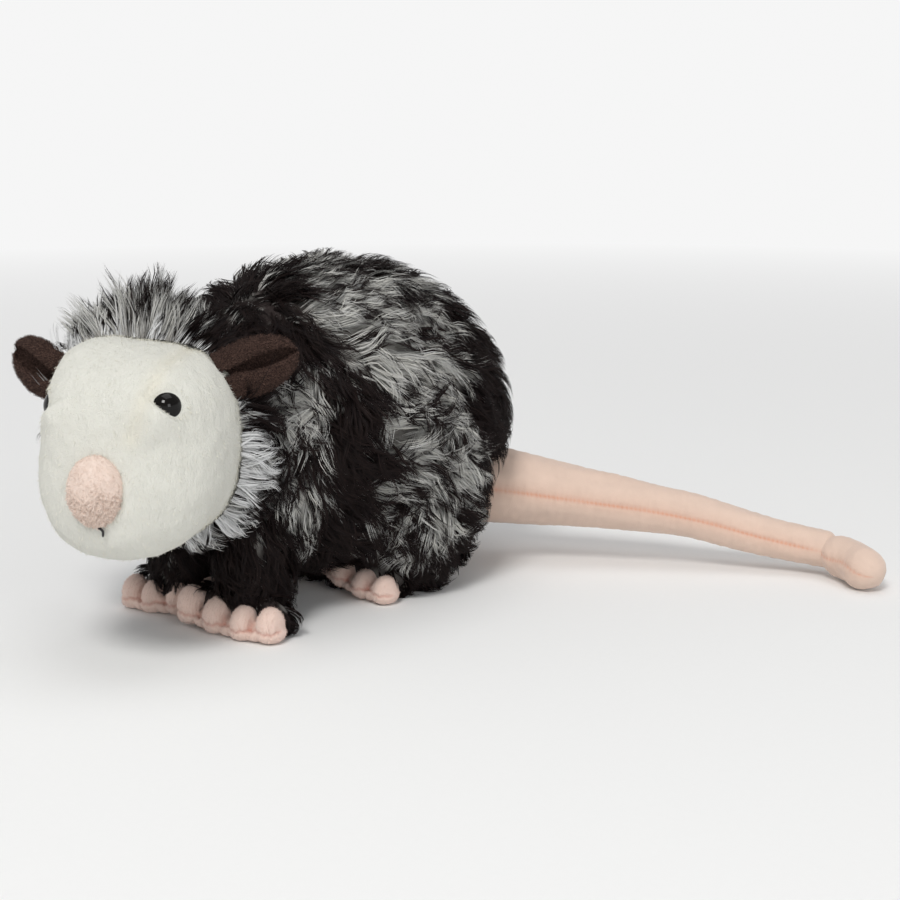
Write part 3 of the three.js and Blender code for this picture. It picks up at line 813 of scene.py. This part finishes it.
def faceGrow(place):
    # Height of the face's cloth over the skull's form: a dip at the seam, a hollow round each eye with a lid
    # on the side of the nose and chin, a crease, a furrow down the chin and two sizes of waves
    ahead = place[..., 1] - head["seam"]
    grow = face["skin"] - face["seamDip"] * np.exp(-np.maximum(ahead, 0) / face["seamWidth"])
    for name, _ in sides:
        off = place - np.array(eyeAt[name])
        r = np.linalg.norm(off, axis=-1)
        grow = grow - face["socket"] * np.exp(-0.5 * (r / face["socketSize"]) ** 2)
        toNose = -np.sign(eyeAt[name][0])
        down = 0.58 * toNose * off[..., 0] - 0.81 * off[..., 2]  # towards the nose and the chin
        beside = 0.81 * toNose * off[..., 0] + 0.58 * off[..., 2]
        lid = smoothStep(face["lidFrom"], face["lidTo"], down)
        lid = face["lid"][name] * lid * np.exp(-(np.maximum(down - 4, 0) / 8) ** 2 - (beside / 7.5) ** 2)
        grow = grow + lid
    distance, t = creaseDistance(place)
    grow = grow - face["crease"] * np.exp(-(distance / face["creaseWidth"]) ** 2) * smoothStep(1, 0.75, t)
    up = place[..., 2]
    chin = np.exp(-((place[..., 0] + 0.8) / 1.3) ** 2) * smoothStep(-24, -27, up) * smoothStep(-36, -30, up)
    grow = grow - face["furrow"] * chin
    return grow + 0.5 * waves(place, 30, 21) + 0.18 * waves(place, 9, 22)


def faceGrid():
    # Rings of directions round the muzzle's axis. The angle at which each ray meets the seam is found by
    # halving, and three rings then close the back inside the head
    around = 2 * np.pi * np.arange(face["cols"]) / face["cols"]

    def rays(polar):  # unit directions at that angle from straight ahead
        return np.stack((np.sin(polar) * np.sin(around), -np.cos(polar) * np.ones_like(around),
                         np.sin(polar) * np.cos(around)), -1)

    low, high = np.full(face["cols"], 1.0), np.full(face["cols"], 2.6)
    for _ in range(30):
        middle = (low + high) / 2
        beyond = headPlace(skull.point(rays(middle)))[:, 1] < head["seam"] + face["reach"]
        low, high = np.where(beyond, low, middle), np.where(beyond, middle, high)
    share = (1 - (1 - np.linspace(0.004, 1, face["rows"])) ** 1.15)[:, None]
    d = rays(share * low)
    grid = skull.point(d, faceGrow(headPlace(skull.point(d))))
    edge = grid[-1]
    middle = onHead((0, head["seam"] + face["reach"], 0))
    back = [edge + (middle - edge) * k for k in (0.04, 0.3, 0.8)]
    return np.concatenate((grid, np.array(back)))


def faceFinish():
    f = Finish("face_pile")
    crease = f.attribute("crease")
    soft, tufts = f.noise(14, 2.0), f.noise(3.2, 3.0, (1.0, 1.0, 0.5))
    lines = f.noise(1.1, 3.0, (1.0, 1.0, 0.3))
    fibre = f.noise(0.4, 3.0)
    colour = f.mix((crease * 0.8).clamped(), face["colour"], face["warm"])
    colour = f.mix((soft * 0.7 - 0.75 + tufts * 0.6 + lines * 0.7).clamped(), colour, face["shade"])
    height = fibre * 0.8 + lines * 0.9 + tufts * 1.3
    return f.surface(colour, Roughness=0.95, Specular_IOR_Level=0.12, Sheen_Weight=0.1,
                     Sheen_Roughness=0.6, Normal=f.bump(height, 0.6))


facePoints, faceFaces = closedGrid(faceGrid())
distance, along = creaseDistance(headPlace(facePoints))
faceMaterial = faceFinish()
facePiece = makeMesh("face_cloth", facePoints, faceFaces, faceMaterial,
                     {"crease": np.exp(-(distance / 4.0) ** 2) * smoothStep(1, 0.8, along)})
dressed(facePiece, "face_pile", "face")

# Short pile of the face
fuzzLook = {"count": 16000, "rise": 0.8, "run": 1.0, "lie": (0.1, 0.0, -1.0), "stray": 0.35, "width": 0.16,
            "twist": 0.5, "seed": 141}


def onFace(p, normal):
    # Thickest where it breaks an edge: at the seam, round the nose and round the eyes
    place = headPlace(p)
    share = 0.12 + smoothStep(8, 2, place[:, 1] - head["seam"])
    for name, _ in sides:
        r = np.linalg.norm(place - np.array(eyeAt[name]), axis=1) - eyeSize / 2
        share = np.where(r < 0, 0, share + 1.5 * smoothStep(2.0, 0.2, r))
    r = np.sqrt(((place[:, 0] + 3) / 11) ** 2 + ((place[:, 2] + 11.5) / 13.5) ** 2)
    return np.where(r < 0.96, 0, share + 1.2 * smoothStep(1.15, 1.0, r))


def fuzzFinish(name, colour, other):
    f = Finish(name)
    return f.surface(f.mix(f.attribute("vary"), colour, other), Roughness=0.9, Specular_IOR_Level=0.15)


faceFuzz = fuzzFinish("face_fuzz", face["colour"], face["warm"])
growFuzz("face_fuzz", facePoints, faceFaces[0], fuzzLook, faceFuzz, "face_pile", onFace)
print("face ready")

# Eyes: glossy domes
eyeLook = {"colour": (0.003, 0.003, 0.003), "rim": (0.007, 0.005, 0.004),
           "move": {"left": (-1.2, 0.0, -0.8), "right": (1.2, -0.4, -0.8)}}


def eyeFinish():
    f = Finish("eye_gloss")
    colour = f.mix(f.noise(6, 1.0), eyeLook["colour"], eyeLook["rim"])
    return f.surface(colour, Roughness=0.03, Specular_IOR_Level=0.24)


eyeMaterial = eyeFinish()
for side, _ in sides:
    ball = onHead(np.array(eyeAt[side]) + eyeLook["move"][side]) + ballDirections(32, 48) * eyeSize / 2
    points, faces = closedGrid(ball)
    dressed(makeMesh(f"eye_dome_{side}", points, faces, eyeMaterial), "eye_button", f"eye_{side}")

# Nose: smooth velour above, looped cloth below
# dark is partly the looped cloth's browner tone and partly painted shade in the hollows between its loops
nose = {"at": (-3.0, 45.5, -11.5), "radii": (11.5, 8.5, 14.0), "loop": 0.55, "smooth": (0.79, 0.66, 0.585),
        "looped": (0.82, 0.69, 0.61), "dark": (0.60, 0.46, 0.385)}
noseForm = Form(onHead(nose["at"]), nose["radii"], head["turn"])


def noseFinish():
    f = Finish("nose_velour")
    loops, fine = f.attribute("loops"), f.noise(0.4, 2.0)
    cell = f.noise(1.1, 2.0)
    colour = f.mix(loops, nose["smooth"], nose["looped"])
    # Partly the looped cloth's own browner tone, partly painted shade: strongest where the cell noise, and so the
    # bump, is low, in the hollows between the loops
    colour = f.mix((loops * (0.75 - cell) * 2.2).clamped(), colour, nose["dark"])
    return f.surface(colour, Roughness=0.9, Specular_IOR_Level=0.15, Sheen_Weight=0.2,
                     Normal=f.bump(fine * 0.5 + cell * loops * 1.5, 0.45))


noseWays = ballDirections(110, 150)
noseFlat = noseForm.point(noseWays)
noseLoops = smoothStep(5.0, -4.0, headPlace(noseFlat)[..., 2] - nose["at"][2] + 1.5 * waves(noseFlat, 7, 31))
noseGrow = noseLoops * nose["loop"] * waves(noseFlat, 1.6, 32, 60) + 0.1 * waves(noseFlat, 5, 33)
points, faces = closedGrid(noseForm.point(noseWays, noseGrow))
dressed(makeMesh("nose_ball", points, faces, noseFinish(), {"loops": withEnds(noseLoops)}), "pink_velour", "nose")
noseFuzz = {"count": 7000, "rise": 0.6, "run": 0.7, "lie": (0, 0, -0.5), "stray": 0.9, "width": 0.13, "twist": 0.5,
            "seed": 145}
growFuzz("nose_fuzz", points, faces[0], noseFuzz, fuzzFinish("nose_fuzz", nose["smooth"], nose["looped"]),
         "pink_velour", lambda p, n: headPlace(p)[:, 1] > nose["at"][1] - 3)


def pathFrames(path):
    # Tangent and two across directions along a path, the first across kept level
    tangent = unit(np.gradient(path, axis=0))
    level = unit(np.cross(upward, tangent))
    return tangent, level, np.cross(tangent, level)


def curve(points, count):
    # Smooth path through points: each stretch is the cubic with the mean slopes at its ends
    points = np.array(points, float)
    ends = np.concatenate((2 * points[:1] - points[1:2], points, 2 * points[-1:] - points[-2:-1]))
    x = np.linspace(0, len(points) - 1, count)
    i = np.minimum(x.astype(int), len(points) - 2)
    t = (x - i)[:, None]
    a, b, c, d = ends[i], ends[i + 1], ends[i + 2], ends[i + 3]
    return 0.5 * (2 * b + (c - a) * t + (2 * a - 5 * b + 4 * c - d) * t ** 2 + (3 * b - a - 3 * c + d) * t ** 3)


def tubeGrid(path, radius, cols):
    # Rings along a path: point = path + radius * (cos a * level + sin a * above). The radius has a row for each
    # point of the path, of one column or as many as the rings have
    _, level, above = pathFrames(path)
    a = 2 * np.pi * np.arange(cols)[None, :, None] / cols
    return path[:, None] + radius[..., None] * (np.cos(a) * level[:, None] + np.sin(a) * above[:, None])


# Mouth: one hooked stitch of black thread under the nose
stitch = {"points": [(-1.9, -25.0), (-0.7, -25.5), (0.1, -26.6), (-0.3, -28.9)], "radius": 0.5,
          "ahead": 0.9, "steps": 40, "cols": 16, "dark": (0.010, 0.009, 0.010), "light": (0.030, 0.026, 0.026)}


def onFaceAt(aside, up):
    # Place on the face's cloth with the given aside and up, found by walking along the form
    want = np.stack((aside, np.full_like(aside, 45.0), up), -1)
    for _ in range(12):
        place = headPlace(skull.point(skull.toward(onHead(want))))
        want = want + np.stack((aside - place[:, 0], place[:, 1] - want[:, 1], up - place[:, 2]), -1)
    return want


threadFinish = Finish("black_thread")
ply = threadFinish.noise(0.5, 2.0)
threadMaterial = threadFinish.surface(threadFinish.mix(ply, stitch["dark"], stitch["light"]),
                                      Roughness=0.6, Normal=threadFinish.bump(ply, 0.2))
stitchPlaces = curve([(a, 0, u) for a, u in stitch["points"]], stitch["steps"])
stitchPlaces = onFaceAt(stitchPlaces[:, 0], stitchPlaces[:, 2])
stitchPath = onHead(stitchPlaces) + stitch["ahead"] * headAhead
stitchRadius = stitch["radius"] * np.sqrt(np.clip(1 - np.linspace(-1, 1, stitch["steps"]) ** 8, 0.02, 1))
points, faces = closedGrid(tubeGrid(stitchPath, stitchRadius[:, None], stitch["cols"]))
dressed(makeMesh("mouth_thread", points, faces, threadMaterial), "black_thread", "mouth_stitch")

# Ears: a thick felt disc folded forwards about its length until its two lobes nearly meet
ear = {"length": 34.0, "half": 9.6, "depth": 4.4, "thickness": 5.0, "along": (0.84, -0.45, 0.30),
       "open": (0.35, 0.9, -0.05), "fold": {"left": 2.98, "right": 2.8}, "turn": 0.22, "set": -3.0, "drop": 2.5,
       "colour": (0.019, 0.0108, 0.009), "nap": (0.13, 0.078, 0.062)}


def earGrid(side, s):
    # Rows run from root to tip, columns round the felt's own thickness. The middle of the felt is the
    # arc (half * sin a, depth * (1 - cos a)) for a from -fold to fold, with half the thickness on each side
    along = unit(np.array(ear["along"]) * (s, 1, 1))
    opening = alongSurface(np.array(ear["open"]) * (s, 1, 1), along)
    across = np.cross(along, opening) * s
    t = np.sin(np.linspace(0, 1, 90) * np.pi / 2)[:, None]
    psi = 2 * np.pi * np.arange(160)[None] / 160
    end = np.sqrt(np.clip(1 - (np.clip(t - 0.42, 0, 1) / 0.58) ** 2, 0.0001, 1))
    size = (0.86 + 0.14 * smoothStep(0, 0.4, t)) * end
    c = np.cos(psi)
    angle = np.sign(c) * np.abs(c) ** 0.85 * (ear["fold"][side] - 0.18 * smoothStep(0.15, 0.6, t)) - ear["turn"]
    half = np.sign(np.sin(psi)) * np.abs(np.sin(psi)) ** 0.55 * ear["thickness"] / 2 * end
    slope = unit(np.stack((ear["depth"] * np.sin(angle), -ear["half"] * np.cos(angle)), -1))
    a = ear["half"] * size * np.sin(angle) + half * slope[..., 0]
    o = ear["depth"] * size * (1 - np.cos(angle)) + half * slope[..., 1]
    u = t * ear["length"] + 0 * psi
    root = np.array(earRoot[side]) - (0, 0, ear["drop"])
    place = (root + u[..., None] * along + a[..., None] * across
             + (o + ear["set"] + 3.0 * (1 - end))[..., None] * opening)
    return onHead(place) + 0.3 * waves(place, 9, 41)[..., None] * headAhead


def feltFinish():
    f = Finish("brown_felt")
    fibre, patch = f.noise(0.5, 4.0), f.noise(5, 2.0)
    # The nap colour is partly the felt's lighter fibres and lint and partly a painted highlight: it comes where
    # the fibre noise, and so the bump, is high
    colour = f.mix((fibre * 1.8 - 0.85 + patch * 0.3).clamped(), ear["colour"], ear["nap"])
    return f.surface(colour, Roughness=0.95, Specular_IOR_Level=0.1, Normal=f.bump(fibre, 0.5))


feltMaterial = feltFinish()
# The nap's short hairs take the felt and nap colours at random, the nap colour again partly lighter fibre and
# partly painted highlight
feltFuzz = fuzzFinish("felt_fuzz", ear["colour"], ear["nap"])
for side, s in sides:
    grid = earGrid(side, s)
    points, faces = closedGrid(grid[:, ::-1] if s > 0 else grid)
    dressed(makeMesh(f"ear_felt_{side}", points, faces, feltMaterial), "brown_felt", f"ear_{side}")
    growFuzz(f"ear_nap_{side}", points, faces[0],
             {"count": 7000, "rise": 0.7, "run": 0.9, "lie": tuple(headLeft * s), "stray": 0.9, "width": 0.15,
              "twist": 0.5, "seed": 150 + s}, feltFuzz, "brown_felt")
print("nose, eyes and ears ready")


def velourFinish(name, colour, fold, ribs):
    # Velour with a fine nap, darker at its folds: on the feet partly the seam's own darker line and partly painted
    # shade in the seam's groove and the pinches between the toes, on the tail the stitches' thread with a faint
    # wider band along the seam. ribs is the distance between its ribs, or 0 for none
    f = Finish(name)
    fibre, soft = f.noise(0.5, 3.0), f.noise(9, 2.0)
    shade = tuple(0.86 * v for v in colour)
    tint = f.mix((soft * 1.1 - 0.3).clamped(), colour, shade)
    tint = f.mix((f.attribute("fold") * (0.7 + fibre * 0.4)).clamped(), tint, fold)
    height = fibre * 0.6
    if ribs:
        height = height + (f.attribute("aside") * (2 * np.pi / ribs)).sine() * 0.14
    return f.surface(tint, Roughness=0.9, Specular_IOR_Level=0.2, Sheen_Weight=0.3,
                     Sheen_Roughness=0.5, Normal=f.bump(height, 0.35))


# Feet: toes, a sole band below them and a filling between them, grown together, then the seams drawn in
sole = {"up": 4.8, "width": 0.46, "betweenUp": 4.2, "betweenWidth": 0.36, "betweenDepth": 7.4, "voxel": 0.7}


def soleForms(name, foot):
    # Under each toe a flat ball, and between two toes a lower one a little behind them
    backWay = footAxes(foot)[2]
    forms = []
    for i, form in enumerate(toes[name]):
        up = sole["up"] + 0.5 * toe["lift"][i] + tilted(foot, i)
        radii = (foot["pitch"] * sole["width"], toe["depth"][i], sole["up"])
        forms.append(Form((*form.at[:2], up), radii, foot["turn"]))
        if i:
            between = (toes[name][i - 1].at + form.at) / 2 + backWay * 1.0
            up = sole["betweenUp"] + 0.25 * (toe["lift"][i] + toe["lift"][i - 1]) + tilted(foot, i - 0.5)
            radii = (foot["pitch"] * sole["betweenWidth"], sole["betweenDepth"], sole["betweenUp"])
            forms.append(Form((*between[:2], up), radii, foot["turn"]))
    return forms


def footSeams(foot, p, n):
    # The wavy seam between toes and sole as a bell about its height, the pinch between two toes above it as a
    # bell about the gap, and the puckers as short waves just over the seam, all on the front of the foot
    base, asideWay, backWay = footAxes(foot)
    pitch, up = foot["pitch"], p[:, 2]
    aside = (p - base) @ asideWay * foot["s"]
    row = aside / pitch + 1.5
    line = toe["seamUp"] + (0.55 * np.interp(row, np.arange(4), toe["lift"]) + tilted(foot, row))
    line = line + 0.5 * np.sin(aside * 2 * np.pi / pitch + 0.7) + 0.3 * np.sin(aside * 1.9)
    frontal = smoothStep(-0.1, 0.4, -(n @ backWay))
    seam = np.exp(-((up - line) / 0.6) ** 2) * frontal
    gap = (aside / pitch) % 1.0
    gap = np.where(np.abs(aside) < pitch * 1.4, np.minimum(gap, 1 - gap) * pitch, 9.0)
    above = smoothStep(line + 6, line + 0.5, up)
    pinch = np.exp(-(gap / 1.2) ** 2) * above * smoothStep(line - 2.5, line, up) * frontal
    pucker = np.sin(aside * 2 * np.pi / 2.6 + 2 * np.sin(aside))
    pucker = toe["pucker"] * pucker * np.exp(-((up - line - 0.8) / 2.0) ** 2) * frontal
    return aside, seam, pinch, pucker


footMaterial = velourFinish("pink_velour", toe["colour"], toe["fold"], 1.0)
footFuzz = fuzzFinish("velour_fuzz", toe["colour"], toe["nap"])
footFuzzLook = {"count": 3500, "rise": 0.55, "run": 0.5, "lie": (0, 0, -1), "stray": 0.7, "width": 0.13,
                "twist": 0.5, "seed": 160}
ball = ballDirections(32, 40)
for name, foot in feet.items():
    base, _, backWay = footAxes(foot)
    parts = [form.point(ball) for form in (*toes[name], *soleForms(name, foot))]
    for part in parts:
        part[..., 2] = np.maximum(part[..., 2], 0.05)
    p, n, quads = fused(parts, sole["voxel"], 3)
    aside, seam, pinch, pucker = footSeams(foot, p, n)
    p = p - n * (toe["seamDepth"] * seam + toe["pinch"] * pinch - pucker)[:, None]
    p[:, 2] = np.maximum(p[:, 2], 0.0)
    # fold: painted shade in the seam's groove and the pinches between the toes, partly the seam's own darker line
    piece = makeMesh(name + "_velour", p, [quads], footMaterial,
                     {"fold": np.clip(0.7 * seam + 0.6 * pinch, 0, 1), "aside": aside})
    dressed(piece, "pink_velour", name)
    growFuzz(name + "_fuzz", p, quads, footFuzzLook, footFuzz, "pink_velour",
             lambda q, _: (q[:, 2] > 1.0) & ((q - base) @ backWay < 4))
print("feet ready")

# Tail: a stuffed velour tube with its stitched seam towards the toy's left, and the end piece sewn on
tail = {
    "path": [(20, 55, 40), (68, 88, 32.5), (114, 113, 26), (156, 134, 16), (184, 144, 12)],
    "root": 21.5, "end": 9.0, "taper": 2.4, "rows": 260, "cols": 64, "seamAngle": 0.12,
    "colour": (0.72, 0.548, 0.452), "stitchTint": (0.68, 0.35, 0.24),
    "tipPath": [(178, 142, 13), (196, 137.5, 10.5), (212, 126, 8.5)], "tipRadius": 10.0,
    "seamDepth": 0.55, "seamWidth": 0.9, "pucker": 0.16, "puckerRun": 3.1, "stitchRun": 2.2,
}


def tailPiece(name, points, radiusAt, rounding, node, wobble, seamFade):
    # A tube round a curve, r = (radius + waves - the seam's groove + its puckers) * the closing of its ends,
    # which is a quarter circle over the share of the length that rounding gives
    rows, cols = tail["rows"], tail["cols"]
    t = np.linspace(0, 1, rows)
    path = curve(points, rows)
    length = np.concatenate(([0], np.cumsum(np.linalg.norm(np.diff(path, axis=0), axis=1))))
    near = np.minimum(t, 1 - t) / rounding
    closing = np.sqrt(np.clip(1 - (1 - np.minimum(near, 1)) ** 2, 0.0004, 1))
    around = 2 * np.pi * np.arange(cols)[None] / cols
    # The rings start level on the toy's far side, so the seam is half a turn from there
    seamAt = np.pi - tail["seamAngle"] + wobble * np.sin(length / 5.5)[:, None]
    off = (around - seamAt + np.pi) % (2 * np.pi) - np.pi
    radius = radiusAt(t)[:, None] + 0 * around
    distance = np.abs(off) * radius
    ring = tubeGrid(path, radius, cols)
    fade = seamFade(t)[:, None]
    stretch = np.stack((length[:, None] * 0.35 + 0 * around, radius * np.cos(around), radius * np.sin(around)), -1)
    grow = 0.35 * waves(stretch, 13, 51) + 0.12 * waves(ring, 4.5, 52)
    grow = grow - tail["seamDepth"] * np.exp(-(distance / tail["seamWidth"]) ** 2) * fade
    puckers = tail["pucker"] * np.sin(length * 2 * np.pi / tail["puckerRun"])[:, None]
    grow = grow + puckers * np.exp(-distance / 3.0) * fade
    grid = tubeGrid(path, (radius + grow) * closing[:, None], cols)
    grid[..., 2] = np.maximum(grid[..., 2], 0.05)
    dash = 0.75 + 0.25 * np.sin(length * 2 * np.pi / tail["stitchRun"])[:, None]
    fold = np.exp(-(distance / 0.8) ** 2) * dash * fade + 0.22 * np.exp(-(distance / 4.0) ** 2) * fade
    made, faces = closedGrid(grid)
    piece = makeMesh(name, made, faces, tailMaterial, {"fold": withEnds(fold)})
    return dressed(piece, "tail_velour", node)


tailMaterial = velourFinish("tail_velour", tail["colour"], tail["stitchTint"], 0)
tailPiece("tail_tube", tail["path"],
          lambda t: tail["end"] + (tail["root"] - tail["end"]) * (1 - t) ** tail["taper"],
          0.05, "tail", 0.01, lambda t: smoothStep(1.0, 0.8, t) * 0.85 + 0.15)
tailPiece("tail_end", tail["tipPath"], lambda t: tail["tipRadius"] * np.ones_like(t),
          0.3, "tail_tip", 0.12, lambda t: np.ones_like(t) * 0.7)
print("tail ready")

# Pale floor that curves up far away, soft light and the camera at the photograph's angle
studio = {"floor": (0.86, 0.86, 0.855), "glow": 0.92, "glowFrom": 0.12, "glowTo": 2.0, "flat": 2600.0,
          "curve": 1500.0, "cols": 96, "under": -0.2, "world": (0.97, 0.98, 1.0), "worldStrength": 0.32}
view = {"azimuth": 39.0, "elevation": 12.0, "distance": 740.0, "target": (60.0, 0.0, 69.4), "lens": 64.96}


def sweepGrid(cols):
    # Rings about the object: flat, then a quarter circle up: (flat + curve * sin a, curve * (1 - cos a))
    a = np.linspace(0, np.pi / 2, 24)
    r = np.concatenate((np.linspace(20, studio["flat"], 12)[:-1], studio["flat"] + studio["curve"] * np.sin(a)))
    z = np.concatenate((np.zeros(11), studio["curve"] * (1 - np.cos(a)))) + studio["under"]
    around = 2 * np.pi * np.arange(cols)[None] / cols
    return np.stack((r[:, None] * np.cos(around), r[:, None] * np.sin(around), z[:, None] + 0 * around), -1)


floorFinish = Finish("floor_paper")
floorGrain = floorFinish.noise(3.0, 2.0)
reach = floorFinish.node("ShaderNodeVectorMath", {"operation": "LENGTH"}, {0: floorFinish.place()}, "Value")
glow = ((reach - studio["glowFrom"]) * (1 / (studio["glowTo"] - studio["glowFrom"]))).clamped()
floorTint = floorFinish.mix(floorGrain, studio["floor"], tuple(0.985 * v for v in studio["floor"]))
floorMaterial = floorFinish.surface(
    floorFinish.mix(glow, floorTint, (0.0, 0.0, 0.0)), Roughness=0.8, Specular_IOR_Level=0.0,
    Emission_Color=floorFinish.mix(glow, (0.0, 0.0, 0.0), (1.0, 1.0, 1.0)), Emission_Strength=studio["glow"])
sweep = sweepGrid(studio["cols"])
floorPoints = np.concatenate((sweep.reshape(-1, 3), [[0, 0, studio["under"]]]))
j = np.arange(studio["cols"])
innerDisc = np.stack((j, (j + 1) % len(j), np.full(len(j), len(floorPoints) - 1)), -1)
floor = makeMesh("floor", floorPoints, [gridFaces(*sweep.shape[:2])[:, ::-1], innerDisc], floorMaterial)

world = bpy.data.worlds.new("studio")
world.use_nodes = True
background = world.node_tree.nodes["Background"]
background.inputs["Color"].default_value = (*studio["world"], 1.0)
background.inputs["Strength"].default_value = studio["worldStrength"]
bpy.context.scene.world = world


def softLight(name, place, aim, size, power, colour):
    # A square lamp at a place in millimetres, turned to aim. Its size is in metres and its power in watts
    lamp = bpy.data.lights.new(name, "AREA")
    lamp.shape = "SQUARE"
    lamp.size = size
    lamp.energy = power
    lamp.color = colour
    made = bpy.data.objects.new(name, lamp)
    made.location = Vector(toWorld(np.array(place, float)))
    toAim = Vector(toWorld(np.array(aim, float))) - made.location
    made.rotation_euler = toAim.to_track_quat("-Z", "Y").to_euler()
    bpy.context.scene.collection.objects.link(made)


softLight("key", (720, -1640, 2150), (40, -20, 70), 0.75, 37.0, (1.0, 0.99, 0.97))
softLight("fill", (1750, -700, 900), (40, 0, 60), 0.6, 4.5, (0.98, 0.99, 1.0))
softLight("top", (50, 150, 2300), (40, 0, 60), 1.6, 12.0, (1.0, 1.0, 1.0))

a, e = np.radians(view["azimuth"]), np.radians(view["elevation"])
away = np.array((np.sin(a) * np.cos(e), -np.cos(a) * np.cos(e), np.sin(e)))
cameraData = bpy.data.cameras.new("camera")
cameraData.sensor_width = 36.0
cameraData.lens = view["lens"]
camera = bpy.data.objects.new("camera", cameraData)
camera.location = Vector(toWorld(np.array(view["target"]) + view["distance"] * away))
camera.rotation_euler = Vector(-away).to_track_quat("-Z", "Y").to_euler()
bpy.context.scene.collection.objects.link(camera)
bpy.context.scene.camera = camera
bpy.context.scene.view_settings.view_transform = "Standard"
